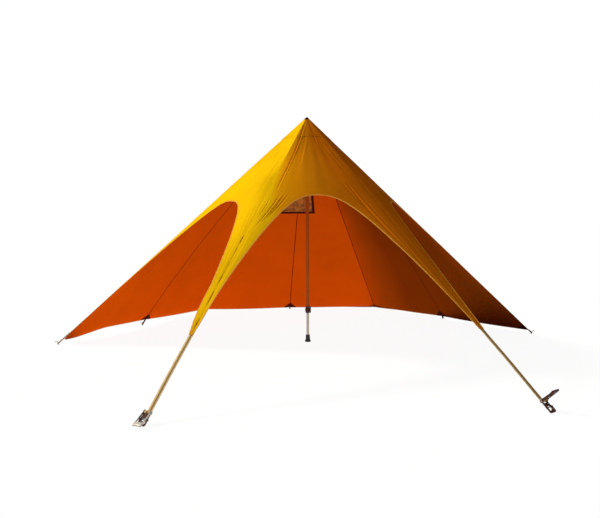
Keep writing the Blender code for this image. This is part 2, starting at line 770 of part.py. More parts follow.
def pole():
    slide = empty("pole_slide", Matrix.Translation((0.0, 0.0, 0.0)))
    foot_hole = LOWER_TUBE_RADIUS + GAP
    turned("pole_foot", [
        (0.0, 0.0), (FOOT_RADIUS, 0.0), (FOOT_RADIUS, FOOT_RIM_HEIGHT), (FOOT_SHOULDER, FOOT_SHOULDER_HEIGHT),
        (LOWER_TUBE_RADIUS + FOOT_NECK_WALL, FOOT_HEIGHT), (foot_hole, FOOT_HEIGHT),
        (foot_hole, FOOT_FLOOR), (0.0, FOOT_FLOOR)], TUBE_STEPS, BLACK, 0.85)
    bore = LOWER_TUBE_RADIUS - LOWER_TUBE_WALL
    turned("pole_lower_tube", [
        (bore, FOOT_FLOOR + GAP), (LOWER_TUBE_RADIUS, FOOT_FLOOR + GAP),
        (LOWER_TUBE_RADIUS, LOWER_TUBE_TOP), (bore, LOWER_TUBE_TOP)], TUBE_STEPS, PALE_METAL, 0.45, 0.8)
    upper_bore = UPPER_TUBE_RADIUS - UPPER_TUBE_WALL
    bush = upper_bore - TUBE_PLAY
    turned("pole_glide_bush", [
        (LOWER_TUBE_RADIUS + GAP, LOWER_TUBE_TOP - BUSH_LENGTH), (bush, LOWER_TUBE_TOP - BUSH_LENGTH),
        (bush, LOWER_TUBE_TOP + BUSH_CAP), (bore, LOWER_TUBE_TOP + BUSH_CAP),
        (bore, LOWER_TUBE_TOP + GAP), (LOWER_TUBE_RADIUS + GAP, LOWER_TUBE_TOP + GAP)],
        TUBE_STEPS, BLACK, 0.6)
    flange_top = CUP_BOTTOM - GAP
    flange_bottom = flange_top - FLANGE_THICKNESS
    flange_radius = UPPER_TUBE_RADIUS + FLANGE_OVERHANG
    turned("pole_upper_tube", [
        (upper_bore, UPPER_TUBE_BOTTOM), (UPPER_TUBE_RADIUS, UPPER_TUBE_BOTTOM),
        (UPPER_TUBE_RADIUS, flange_bottom - GAP), (upper_bore, flange_bottom - GAP)],
        TUBE_STEPS, OLIVE_METAL, 0.5, 0.8, slide)
    turned("pole_top_plug", [
        (0.0, flange_bottom - PLUG_DEPTH), (upper_bore - GAP, flange_bottom - PLUG_DEPTH),
        (upper_bore - GAP, flange_bottom), (flange_radius, flange_bottom),
        (flange_radius, flange_top), (SPIGOT_RADIUS, flange_top),
        (SPIGOT_RADIUS, flange_top + SPIGOT_LENGTH - 0.005),
        (SPIGOT_RADIUS * 0.6, flange_top + SPIGOT_LENGTH), (0.0, flange_top + SPIGOT_LENGTH)],
        TUBE_STEPS, BLACK, 0.5, 0.0, slide)
    clamp(slide)


def clamp(slide):
    """Split collar on the upper tube's end, with a flip lever that squeezes it shut."""
    inner = UPPER_TUBE_RADIUS + GAP
    outer = inner + COLLAR_WALL
    low_bore = LOWER_TUBE_RADIUS + TUBE_PLAY
    bottom = collar_bottom()
    top = bottom + COLLAR_HEIGHT
    shelf = UPPER_TUBE_BOTTOM - GAP
    middle = (bottom + top) / 2
    body = bmesh.new()
    add_turned(body, [
        (low_bore, bottom), (outer - 0.002, bottom), (outer, bottom + 0.002), (outer, top - 0.003),
        (outer - 0.003, top), (inner, top), (inner, shelf), (low_bore, shelf)], TUBE_STEPS)
    collar = finish("clamp_collar", body, BLACK, 0.55, 0.0, slide, smooth=35)
    pin_x = outer + LEVER_PIN_RADIUS + LEVER_PIN_OFFSET
    ear = bmesh.new()
    ear_radius = LEVER_PIN_RADIUS + LEVER_EYE_WALL
    ear_root = outer - 0.004
    ear_outline = arc(pin_x, 0.0, ear_radius, -90, 90, 8) + [(ear_root, ear_radius), (ear_root, -ear_radius)]
    half_gap = LEVER_HEIGHT / 2 + GAP
    for low, high in ((bottom + 0.002, middle - half_gap), (middle + half_gap, top - 0.004)):
        add_prism(ear, ear_outline, low, high, lambda x, y, z: Vector((x, z, y)))
    join(collar, ear, slide)
    slots = bmesh.new()
    pin_hole = LEVER_PIN_RADIUS + GAP
    add_turned(slots, [(0.0, bottom - 0.01), (pin_hole, bottom - 0.01), (pin_hole, top + 0.01),
                       (0.0, top + 0.01)], PIN_STEPS, lambda x, y, z: Vector((x + pin_x, y, z)))
    slit = box_outline(-outer - 0.01, -low_bore + 0.004, -COLLAR_SLIT / 2, COLLAR_SLIT / 2)
    add_prism(slots, slit, bottom - 0.01, top + 0.01, lambda x, y, z: Vector((x, z, y)))
    cut(collar, slots, slide)

    pin = bmesh.new()
    head = LEVER_PIN_RADIUS + 0.0015
    pin_top = top - 0.002
    add_turned(pin, [(0.0, bottom), (head, bottom), (head, bottom + PIN_HEAD_HEIGHT),
                     (LEVER_PIN_RADIUS, bottom + PIN_HEAD_HEIGHT), (LEVER_PIN_RADIUS, pin_top - PIN_HEAD_HEIGHT),
                     (head, pin_top - PIN_HEAD_HEIGHT), (head, pin_top), (0.0, pin_top)], PIN_STEPS,
               lambda x, y, z: Vector((x + pin_x, y, z)))
    finish("clamp_pin", pin, GALVANISED, 0.4, 0.9, slide, smooth=35)

    hinge = empty("clamp_lever_hinge", Matrix.Translation((pin_x, 0.0, middle)), slide)
    lever = bmesh.new()
    inner_radius = outer + LEVER_GAP
    outer_radius = inner_radius + LEVER_THICKNESS
    start = -12.0
    end = start - LEVER_SPAN
    eye = arc(0.0, 0.0, ear_radius, 120, -60, 8)
    outside = arc(-pin_x, 0.0, outer_radius, start, end, 16)
    inside = arc(-pin_x, 0.0, inner_radius, end, start - 2.0, 16)
    add_prism(lever, eye + outside + inside, -LEVER_HEIGHT / 2 + GAP, LEVER_HEIGHT / 2 - GAP,
              lambda x, y, z: Vector((x, z, y)))
    handle = finish("clamp_lever", lever, DARK_STEEL, 0.5, 0.0, hinge, smooth=35)
    hole = bmesh.new()
    add_turned(hole, [(0.0, -0.05), (pin_hole, -0.05), (pin_hole, 0.05), (0.0, 0.05)], PIN_STEPS)
    cut(handle, hole, hinge)


# Front corners: webbing, ratchet and stake in the upright plane through the corner's ray

def front_frame(corner):
    """Matrix at the ratchet's spool: +X up the strap, +Y across it, +Z away from the ground."""
    azimuth, reach, _ = ray(corner)
    angle = radians(azimuth)
    away = Vector((sin(angle), -cos(angle), 0.0))
    up_strap = (Vector((0.0, 0.0, PEAK_HEIGHT)) - away * reach).normalized()
    across = up_strap.cross(away).normalized()
    lift = up_strap.cross(across).normalized()
    if lift.z < 0:
        across, lift = -across, -lift
    strap_lift = ARCH_TAPE_THICKNESS / 2 + GAP + WEBBING_THICKNESS / 2
    ground = away * reach + lift * (strap_lift + ROLL_RADIUS + WEBBING_THICKNESS / 2 + GAP)
    from_ground = ANCHOR_HEIGHT / up_strap.z + SHACKLE_LENGTH + BASE_LENGTH
    place = ground + up_strap * from_ground
    matrix = Matrix.Identity(4)
    for index, column in enumerate((up_strap, across, lift, place)):
        matrix.col[index] = (*column, 1.0 if index == 3 else 0.0)
    return matrix


def both_sides(low, high):
    return ((-high, -low), (low, high))


def leg_strap(side_name, corner, frame):
    """Webbing from the fabric leg's tip down to the underside of the spool."""
    azimuth, reach, _ = ray(corner)
    slant = hypot(reach, PEAK_HEIGHT)
    tip = slant * (LEG_TIP_HEIGHT / PEAK_HEIGHT)
    spool = ANCHOR_HEIGHT / (PEAK_HEIGHT / slant) + SHACKLE_LENGTH + BASE_LENGTH
    length = tip - spool + STRAP_OVERLAP
    high = -ROLL_RADIUS - GAP
    outline = box_outline(0.0, length, high - WEBBING_THICKNESS, high)
    body = bmesh.new()
    add_prism(body, outline, -WEBBING_WIDTH / 2, WEBBING_WIDTH / 2)
    finish(f"{side_name}_leg_strap", body, YELLOW, 0.75, parent=frame)


def base_top():
    """Upper edge of the base's tail, which the closed handle's pawl clears."""
    closed = radians(180.0 - HANDLE_CLOSED)
    return (WHEEL_RADIUS + PAWL_PLAY) * sin(closed) - PAWL_THICKNESS / 2 * cos(closed) - GAP


def ratchet_base(side_name, frame):
    top = base_top()
    plate = (arc(0.0, 0.0, HUB_RADIUS, 180.0 - degrees(asin(top / HUB_RADIUS)), -90, 12)
             + [(-BASE_LENGTH + 0.012, -HUB_RADIUS)]
             + arc(-BASE_LENGTH, -BASE_TAIL_DROP, BASE_TAIL_RADIUS, -90, -270, 8)
             + [(-BASE_LENGTH + 0.014, top)])
    body = bmesh.new()
    for low, high in both_sides(BASE_INNER, BASE_OUTER):
        add_prism(body, plate, low, high)
    base = finish(f"{side_name}_ratchet_base", body, GALVANISED, 0.4, 0.9, frame)
    web = bmesh.new()
    floor = box_outline(-BASE_LENGTH + 0.014, -BASE_FLOOR_FRONT, -HUB_RADIUS, -HUB_RADIUS + PLATE_THICKNESS)
    add_prism(web, floor, -BASE_OUTER + 0.001, BASE_OUTER - 0.001)
    join(base, web, frame)
    holes = bmesh.new()
    swing = lambda x, y, z: Vector((x, z, y))
    add_turned(holes, [(0.0, -0.05), (HUB_HOLE, -0.05), (HUB_HOLE, 0.05), (0.0, 0.05)], SHAFT_STEPS, swing)
    bolt = BOLT_RADIUS + GAP
    add_turned(holes, [(0.0, -0.05), (bolt, -0.05), (bolt, 0.05), (0.0, 0.05)], PIN_STEPS,
               lambda x, y, z: Vector((x - BASE_LENGTH, z, y)))
    slot = box_outline(BASE_PAWL_BACK - BASE_PAWL_TRAVEL, BASE_PAWL_FRONT + 0.001,
                       BASE_PAWL_Z - PAWL_THICKNESS / 2 - GAP, BASE_PAWL_Z + PAWL_THICKNESS / 2 + GAP)
    add_prism(holes, slot, -0.05, 0.05)
    cut(base, holes, frame)


def shackle(side_name, corner, frame):
    """Steel bow round the stake, closed by the bolt through the base's tail."""
    slant = abs(atan2(PEAK_HEIGHT, ray(corner)[1]) - radians(STAKE_LEAN))
    stake_room = STAKE_RADIUS / cos(slant) + SHACKLE_DEPTH / 2 * tan(slant) + 2 * GAP
    outer_x = -BASE_LENGTH - SHACKLE_LENGTH - stake_room - 2 * SHACKLE_ROD
    inner_x = outer_x + 2 * SHACKLE_ROD
    corner = SHACKLE_CORNER
    eye_x = -BASE_LENGTH + SHACKLE_EYE
    outer = [(eye_x, SHACKLE_OUTER), (outer_x + corner, SHACKLE_OUTER), (outer_x, SHACKLE_OUTER - corner),
             (outer_x, -SHACKLE_OUTER + corner), (outer_x + corner, -SHACKLE_OUTER), (eye_x, -SHACKLE_OUTER)]
    inner = [(eye_x, -SHACKLE_INNER), (inner_x + corner, -SHACKLE_INNER), (inner_x, -SHACKLE_INNER + corner),
             (inner_x, SHACKLE_INNER - corner), (inner_x + corner, SHACKLE_INNER), (eye_x, SHACKLE_INNER)]
    body = bmesh.new()
    add_prism(body, outer + inner, -SHACKLE_DEPTH / 2, SHACKLE_DEPTH / 2, lambda x, y, z: Vector((x, z, y)))
    bow = finish(f"{side_name}_shackle", body, GALVANISED, 0.4, 0.9, frame)
    shank = SHACKLE_OUTER - 0.001
    reach = SHACKLE_OUTER + BOLT_HEAD_HEIGHT
    bolt = bmesh.new()
    add_turned(bolt, [(0.0, -reach), (BOLT_HEAD_RADIUS, -reach), (BOLT_HEAD_RADIUS, -shank),
                      (BOLT_RADIUS, -shank), (BOLT_RADIUS, shank), (BOLT_HEAD_RADIUS, shank),
                      (BOLT_HEAD_RADIUS, reach), (0.0, reach)], PIN_STEPS,
               lambda x, y, z: Vector((x - BASE_LENGTH, z, y)))
    join(bow, bolt, frame)


def spool(side_name, frame):
    """Shaft with a toothed wheel at each end, and the webbing wound on it."""
    hinge = empty(f"{side_name}_spool_hinge", Matrix.Identity(4), frame)
    swing = lambda x, y, z: Vector((x, z, y))
    reach = ARM_OUTER + SHAFT_END
    body = bmesh.new()
    add_turned(body, [(0.0, -reach), (SHAFT_RADIUS, -reach), (SHAFT_RADIUS, reach), (0.0, reach)],
               SHAFT_STEPS, swing)
    shaft = finish(f"{side_name}_spool_shaft", body, GALVANISED, 0.35, 0.9, hinge, smooth=35)
    wheels = bmesh.new()
    rim = []
    root_radius = WHEEL_RADIUS - WHEEL_TOOTH_DEPTH
    for tooth in range(WHEEL_TEETH):
        start = 360.0 * tooth / WHEEL_TEETH
        for offset, radius in ((0.0, WHEEL_RADIUS), (7.0, WHEEL_RADIUS), (9.0, root_radius)):
            angle = radians(start + offset)
            rim.append((radius * cos(angle), radius * sin(angle)))
    for low, high in both_sides(WHEEL_INNER, WHEEL_OUTER):
        add_prism(wheels, rim, low, high)
    join(shaft, wheels, hinge)
    body = bmesh.new()
    bore = HUB_HOLE
    add_turned(body, [(bore, -ROLL_HALF), (ROLL_RADIUS, -ROLL_HALF), (ROLL_RADIUS, ROLL_HALF),
                      (bore, ROLL_HALF)], 24, swing)
    finish(f"{side_name}_wound_webbing", body, YELLOW, 0.8, 0.0, hinge, smooth=35)


def base_pawl(side_name, frame):
    """Sprung bar across the base that stops the wheels from running back."""
    body = bmesh.new()
    outline = box_outline(BASE_PAWL_BACK, BASE_PAWL_FRONT,
                          BASE_PAWL_Z - PAWL_THICKNESS / 2, BASE_PAWL_Z + PAWL_THICKNESS / 2)
    add_prism(body, outline, -WHEEL_OUTER, WHEEL_OUTER)
    finish(f"{side_name}_base_pawl", body, DARK_STEEL, 0.4, 0.9, frame)


def ratchet_handle(side_name, frame):
    """Two arms joined by a folded grip, with the release pawl between them; +Z faces the closed base."""
    turn = HANDLE_CLOSED - HANDLE_REST[side_name]
    matrix = Matrix.Rotation(radians(-turn), 4, "Y")
    hinge = empty(f"{side_name}_handle_hinge", matrix, frame)
    arm = (arc(0.0, 0.0, HUB_RADIUS, 270, 90, 10)
           + [(0.028, 0.0065), (HANDLE_LENGTH - 0.010, 0.0065), (HANDLE_LENGTH, 0.003),
              (HANDLE_LENGTH, -0.008), (HANDLE_LENGTH - 0.010, -0.012),
              (HANDLE_LENGTH - 0.050, -0.0085), (0.030, -0.0115)])
    body = bmesh.new()
    for low, high in both_sides(ARM_INNER, ARM_OUTER):
        add_prism(body, arm, low, high)
    handle = finish(f"{side_name}_ratchet_handle", body, GALVANISED, 0.4, 0.9, hinge)
    web = bmesh.new()
    grip = (arc(HANDLE_LENGTH - 0.010, -0.003, 0.0085, 90, -90, 8)
            + [(HANDLE_LENGTH - GRIP_LENGTH, -0.0075), (HANDLE_LENGTH - GRIP_LENGTH, 0.004)])
    add_prism(web, grip, -ARM_OUTER + 0.001, ARM_OUTER - 0.001)
    join(handle, web, hinge)
    holes = bmesh.new()
    add_turned(holes, [(0.0, -0.05), (HUB_HOLE, -0.05), (HUB_HOLE, 0.05), (0.0, 0.05)], SHAFT_STEPS,
               lambda x, y, z: Vector((x, z, y)))
    front = WHEEL_RADIUS + PAWL_PLAY
    slot = box_outline(front - 0.001, front + 2 * PAWL_DEPTH,
                       -PAWL_THICKNESS / 2 - GAP, PAWL_THICKNESS / 2 + GAP)
    add_prism(holes, slot, -0.05, 0.05)
    cut(handle, holes, hinge)

    body = bmesh.new()
    back = front + PAWL_DEPTH
    end = back + PAWL_TAB
    wide = ARM_OUTER + 0.001
    narrow = WEBBING_WIDTH / 2
    tee = [(front, -wide), (back, -wide), (back, -narrow), (end, -narrow),
           (end, narrow), (back, narrow), (back, wide), (front, wide)]
    add_prism(body, tee, -PAWL_THICKNESS / 2, PAWL_THICKNESS / 2, lambda x, y, z: Vector((x, z, y)))
    finish(f"{side_name}_handle_pawl", body, DARK_STEEL, 0.4, 0.9, hinge)


def stake(side_name, corner):
    """Round steel stake with a mushroom head, driven so that it leans away from the tent."""
    azimuth, reach, _ = ray(corner)
    angle = radians(azimuth)
    away = Vector((sin(angle), -cos(angle), 0.0))
    frame = front_frame(corner)
    anchor = frame @ Vector((-BASE_LENGTH - SHACKLE_LENGTH, 0.0, 0.0))
    lean = radians(STAKE_LEAN)
    axis = (away * sin(lean) + Vector((0.0, 0.0, cos(lean)))).normalized()
    head = STAKE_HEAD_RISE
    tip = -(anchor.z + DRIVEN_DEPTH) / cos(lean)
    across = axis.cross(away).normalized()
    matrix = Matrix.Identity(4)
    for index, column in enumerate((across.cross(axis) * -1.0, across, axis, anchor)):
        matrix.col[index] = (*column, 1.0 if index == 3 else 0.0)
    holder = empty(f"{side_name}_stake_axis", matrix)
    turned(f"{side_name}_stake", [
        (0.0, tip), (STAKE_RADIUS, tip + 0.030), (STAKE_RADIUS, head - 0.004),
        (STAKE_HEAD_RADIUS, head - 0.002), (STAKE_HEAD_RADIUS, head + 0.002),
        (STAKE_HEAD_RADIUS * 0.6, head + 0.005), (0.0, head + 0.005)], 14, DARK_STEEL, 0.5, 0.8, holder)


def front_corner(side_name, corner):
    frame = empty(f"{side_name}_spool_axis", front_frame(corner))
    leg_strap(side_name, corner, frame)
    ratchet_base(side_name, frame)
    shackle(side_name, corner, frame)
    spool(side_name, frame)
    base_pawl(side_name, frame)
    ratchet_handle(side_name, frame)
    stake(side_name, corner)


# Pegs and loops along the hem

def peg_site(name, side, across):
    """Name, hem point, level direction away from the pole, and direction down the wall."""
    share = hem_share(side, across)
    hem = canopy_point(side, across, share)
    away = Vector((hem.x, hem.y, 0.0)).normalized()
    run = smooth_point(side, across, share + 0.004) - smooth_point(side, across, share - 0.004)
    down = (away * run.dot(away) + Vector((0.0, 0.0, run.z))).normalized()
    return name, hem, away, down


def peg_sites():
    """One site for each corner of the closed sides and one for the middle of each hem."""
    sites = []
    for side in WALL_SIDES:
        sites.append(peg_site(CORNERS[side] + "_corner", side, -1.0))
        sites.append(peg_site(WALL_SIDES[side] + "_hem", side, 0.0))
    sites.append(peg_site("left_corner", 4, 1.0))
    return sites


def racetrack(length, width, steps):
    """Closed outline with round ends; the first end is at the origin."""
    half = width / 2
    far = arc(length - half, 0.0, half, -90, 90, steps)
    near = arc(half, 0.0, half, 90, 270, steps)
    return far + near


def pegs_and_loops():
    for name, hem, away, down in peg_sites():
        start = hem + down * GAP
        length = (start.z - LOOP_END_HEIGHT) / -down.z
        across = Vector((-away.y, away.x, 0.0))
        lift = across.cross(down).normalized()
        lift = lift if lift.z > 0.0 else -lift
        body = bmesh.new()
        place = lambda x, y, z: start + down * x + across * z + lift * y
        outer = racetrack(length, LOOP_WIDTH, 6)
        inner = [(x + LOOP_BAND, z) for x, z in
                 racetrack(length - 2 * LOOP_BAND, LOOP_WIDTH - 2 * LOOP_BAND, 6)]
        add_ring_prism(body, outer, inner, -LOOP_DEPTH / 2, LOOP_DEPTH / 2, place)
        finish(f"{name}_loop", body, MAROON, 0.8)
        lean = radians(PEG_LEAN)
        axis = away * sin(lean) + Vector((0.0, 0.0, cos(lean)))
        slant = axis.angle(lift)
        room = PEG_RADIUS / cos(slant) + LOOP_DEPTH / 2 * tan(slant) + GAP
        grip = start + down * (length - LOOP_BAND - room)
        foot = grip + axis * (-(grip.z + DRIVEN_DEPTH - PEG_RADIUS * sin(lean)) / cos(lean))
        top = grip + axis * PEG_RISE
        points = [foot, foot.lerp(grip, 0.5), top]
        centre = top + (away * cos(lean) - Vector((0.0, 0.0, sin(lean)))) * PEG_HOOK_RADIUS
        for step in range(1, 7):
            angle = pi - pi * step / 6 * 0.95
            side = (away * cos(lean) - Vector((0.0, 0.0, sin(lean)))) * cos(angle)
            points.append(centre + (side + axis * sin(angle)) * PEG_HOOK_RADIUS)
        rod(f"{name}_peg", points, PEG_RADIUS)


def rod(name, points, radius):
    """Round steel rod along a line of points."""
    curve = bpy.data.curves.new(name, "CURVE")
    curve.dimensions = "3D"
    curve.bevel_depth = radius
    curve.bevel_resolution = 1
    curve.use_fill_caps = True
    spline = curve.splines.new("POLY")
    spline.points.add(len(points) - 1)
    for point, place in zip(spline.points, points):
        point.co = (*place, 1.0)
    made = bpy.data.objects.new(name, curve)
    bpy.context.collection.objects.link(made)
    curve.materials.append(material(name, DARK_STEEL, 0.4, 0.9))


def main():
    for side in OPEN_SIDES:
        open_panel(side)
        arch_tape(side)
    for side in WALL_SIDES:
        wall_panel(side, -1)
        wall_panel(side, 1)
        hem_patch(side)
    vent_window()
    crown()
    pole()
    peak_cup()
    front_corner("left", 0)
    front_corner("right", 1)
    pegs_and_loops()


main()
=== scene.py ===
"""Star tent: the canopy, trims, pole and ratchets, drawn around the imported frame.

Metres, +Z up. The origin is on the ground under the pole, and the front faces -Y.
"""

import json
from math import cos, degrees, hypot, pi, radians, sin, tan

import bmesh
import bpy
import numpy as np
from bpy.props import FloatProperty, FloatVectorProperty, IntProperty, PointerProperty
from mathutils import Matrix, Vector


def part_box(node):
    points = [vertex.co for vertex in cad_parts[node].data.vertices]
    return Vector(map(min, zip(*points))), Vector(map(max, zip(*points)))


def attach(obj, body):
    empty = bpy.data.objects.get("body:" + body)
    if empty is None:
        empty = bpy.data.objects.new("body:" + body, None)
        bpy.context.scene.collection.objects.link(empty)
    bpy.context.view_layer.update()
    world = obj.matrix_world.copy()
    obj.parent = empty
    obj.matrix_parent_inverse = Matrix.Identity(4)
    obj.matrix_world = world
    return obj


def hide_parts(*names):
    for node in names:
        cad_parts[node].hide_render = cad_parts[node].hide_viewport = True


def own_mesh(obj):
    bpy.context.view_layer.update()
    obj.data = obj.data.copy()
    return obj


bl_info = {
    "name": "Star tent",
    "version": (1, 0, 0),
    "blender": (4, 5, 0),
    "location": "View3D > Sidebar > Star tent",
    "description": "Builds the cloth, trims, pole and ratchets of a star tent around its packed frame",
    "category": "Object",
}

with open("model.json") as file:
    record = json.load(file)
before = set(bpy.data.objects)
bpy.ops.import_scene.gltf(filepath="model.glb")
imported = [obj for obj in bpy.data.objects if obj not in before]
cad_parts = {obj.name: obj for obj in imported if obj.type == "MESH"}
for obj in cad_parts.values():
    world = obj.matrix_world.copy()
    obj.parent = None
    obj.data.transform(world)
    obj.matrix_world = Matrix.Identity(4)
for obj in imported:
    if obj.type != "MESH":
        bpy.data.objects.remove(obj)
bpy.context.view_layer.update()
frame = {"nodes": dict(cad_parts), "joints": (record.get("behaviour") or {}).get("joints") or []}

# Corners, clockwise from the front left one as seen from above
CORNERS = ["front_left", "front_right", "right", "rear_right", "rear_left", "left"]
OPEN_SIDES = {0: "front", 1: "right", 5: "left"}
WALL_SIDES = {2: "right", 3: "back", 4: "left"}
FRONT_CORNERS = {"left": 0, "right": 1}

GAP = 0.0003  # between two pieces that lie on each other
SAME_POINT = 0.00002  # distance under which two points of a mesh are one


# Sizes and colours that a user can change

def length(name, description, default):
    """A distance in metres."""
    return FloatProperty(name=name, description=description, default=default, min=0.0, precision=4,
                         unit="LENGTH")


def share(name, description, default):
    """A number without a unit."""
    return FloatProperty(name=name, description=description, default=default, subtype="FACTOR")


def angle(name, description, default):
    """An angle, given in degrees."""
    return FloatProperty(name=name, description=description, default=radians(default), subtype="ANGLE")


def count(name, description, default):
    """A whole number of pieces."""
    return IntProperty(name=name, description=description, default=default, min=1)


def colour(name, description, default):
    """A linear colour."""
    return FloatVectorProperty(name=name, description=description, default=default, size=3,
                               min=0.0, max=1.0, subtype="COLOR")


class CanopySizes(bpy.types.PropertyGroup):
    """Shape of the pitched canopy, as the frame has it."""
    peak_height: length("Peak height", "Height of the canopy's tip", 2.70)
    rear_reach: length("Rear reach", "Distance of the two rear corners from the pole", 2.81)
    front_left_reach: length("Front left reach", "Distance of the left front corner from the pole", 3.15)
    front_right_reach: length("Front right reach", "Distance of the right front corner from the pole", 3.24)
    front_right_swing: angle("Front right swing", "Turn of the right front corner towards the middle", 0.7)
    left_reach: length("Left reach", "Distance of the left corner from the pole", 2.91)
    left_lift: length("Left lift", "Height at which the left corner's line ends", 0.106)
    left_swing: angle("Left swing", "How far the left corner stands back", 4.0)
    right_reach: length("Right reach", "Distance of the right corner from the pole", 2.90)
    right_lift: length("Right lift", "Height at which the right corner's line ends", 0.018)
    right_swing: angle("Right swing", "How far the right corner stands back", 1.2)
    front_arch: length("Front arch", "Height of the front doorway", 1.745)
    side_arch: length("Side arches", "Height of the two side doorways", 1.678)
    arch_spread: share("Arch spread", "Roundness of the doorways' tops", 2.67)
    front_rise: share("Front rise", "How steeply the front doorway's edge falls", 0.365)
    side_rise: share("Side rise", "How steeply the side doorways' edges fall", 0.327)
    open_flatness: share("Doorway flatness", "1 is flat between two seams and 0 is round", 0.68)
    wall_flattening: share("Wall flattening", "How early the walls turn flat towards the hem", 1.30)
    hem_height: length("Hem height", "Gap under the walls at their pegs", 0.034)
    hem_sag: length("Hem sag", "How far the hem sags between two pegs", 0.012)
    leg_tip: length("Leg tip", "Height at which the cloth of a leg ends", 0.56)
    panel_top: length("Panel top", "Drop from the tip to the panels' upper edge", 0.0972)
    crown_drop: length("Crown drop", "Drop from the tip to the crown's lower edge", 0.270)
    crown_margin: length("Crown margin", "Drop from the crown's edge to where the panels round out", 0.027)
    leg_round: length("Leg rounding", "How far the rounding beside a front seam reaches", 0.15)
    leg_turn: share("Leg turn", "Slope that the rounding adds at a front seam", 0.37)
    corner_drop: length("Corner drop", "How far the cloth hangs below its line at the left corner", 0.085)
    rear_slack: length("Rear slack", "How far the hem hangs below its pegs at the rear right corner", 0.026)
    pleat_depth: length("Pleat depth", "Depth of the soft pleats below the crown", 0.0025)
    pleats: count("Pleats", "Pleats across a doorway's panel", 3)
    skin: length("Cloth thickness", "Thickness of the drawn cloth", 0.0012)
    vent_width: length("Vent width", "Width of the window in the back wall", 0.38)
    vent_low: length("Vent sill", "Height of the window's lower edge", 1.57)
    vent_high: length("Vent head", "Height of the window's upper edge", 1.83)
    patch_width: length("Patch width", "Width of the hem patches", 0.20)
    patch_height: length("Patch height", "Height of the hem patches", 0.10)


class TrimSizes(bpy.types.PropertyGroup):
    """Tapes, seams, stitches and webbing."""
    arch_tape: length("Arch tape", "Width of the binding round the doorways", 0.012)
    hem_tape: length("Hem tape", "Width of the tape along the hem", 0.014)
    seam_width: length("Seam width", "Width of a felled seam", 0.014)
    seam_rise: length("Seam rise", "How far a seam stands proud", 0.0009)
    inner_seam: length("Inner seam", "Width of the dark seam tape inside", 0.010)
    vent_tape: length("Vent tape", "Half the width of the window's binding", 0.022)
    stitch_pitch: length("Stitch pitch", "Distance from one stitch to the next", 0.0095)
    stitch_length: length("Stitch length", "Length of the thread on top", 0.0065)
    stitch_radius: length("Stitch radius", "Radius of the thread", 0.0007)
    webbing_width: length("Webbing width", "Width of the leg straps", 0.045)
    webbing_thickness: length("Webbing thickness", "Thickness of the leg straps", 0.0025)
    strap_overlap: length("Strap overlap", "Length of strap sewn under the end of a leg", 0.16)
    loop_width: length("Loop width", "Width of a peg loop", 0.024)
    loop_band: length("Loop band", "Thickness of the peg loops' webbing", 0.002)
    loop_depth: length("Loop depth", "Width of the peg loops' webbing", 0.014)
    loop_end: length("Loop end", "Height of the peg loops' lower end", 0.010)


class HardwareSizes(bpy.types.PropertyGroup):
    """Pole, ratchets, stakes and pegs, as the frame has them."""
    upper_tube: length("Upper tube", "Radius of the upper tube", 0.020)
    lower_tube: length("Lower tube", "Radius of the lower tube", 0.0165)
    tube_wall: length("Tube wall", "Wall of both tubes", 0.0016)
    foot_radius: length("Foot radius", "Radius of the pole's foot", 0.036)
    foot_height: length("Foot height", "Height of the pole's foot", 0.085)
    anchor_height: length("Anchor height", "Height at which a strap's line meets its stake", 0.005)
    base_length: length("Ratchet base", "Length from spool to bolt", 0.064)
    shackle_length: length("Shackle", "Length from bolt to stake", 0.034)
    roll_radius: length("Roll radius", "Radius of the webbing on a spool", 0.015)
    shaft_radius: length("Shaft radius", "Radius of a spool's shaft", 0.006)
    stake_lean: angle("Stake lean", "Lean of the two stakes", 35.0)
    stake_radius: length("Stake radius", "Radius of a stake", 0.008)
    stake_head: length("Stake head", "Radius of a stake's head", 0.017)
    stake_rise: length("Stake rise", "Length of stake above its shackle", 0.0125)
    driven_depth: length("Driven depth", "Depth of stakes and pegs in the ground", 0.25)
    peg_radius: length("Peg radius", "Radius of a peg's rod", 0.004)
    peg_lean: angle("Peg lean", "Lean of the pegs", 20.0)
    peg_hook: length("Peg hook", "Radius of a peg's hook", 0.014)
    peg_rise: length("Peg rise", "Length of peg above its loop", 0.020)


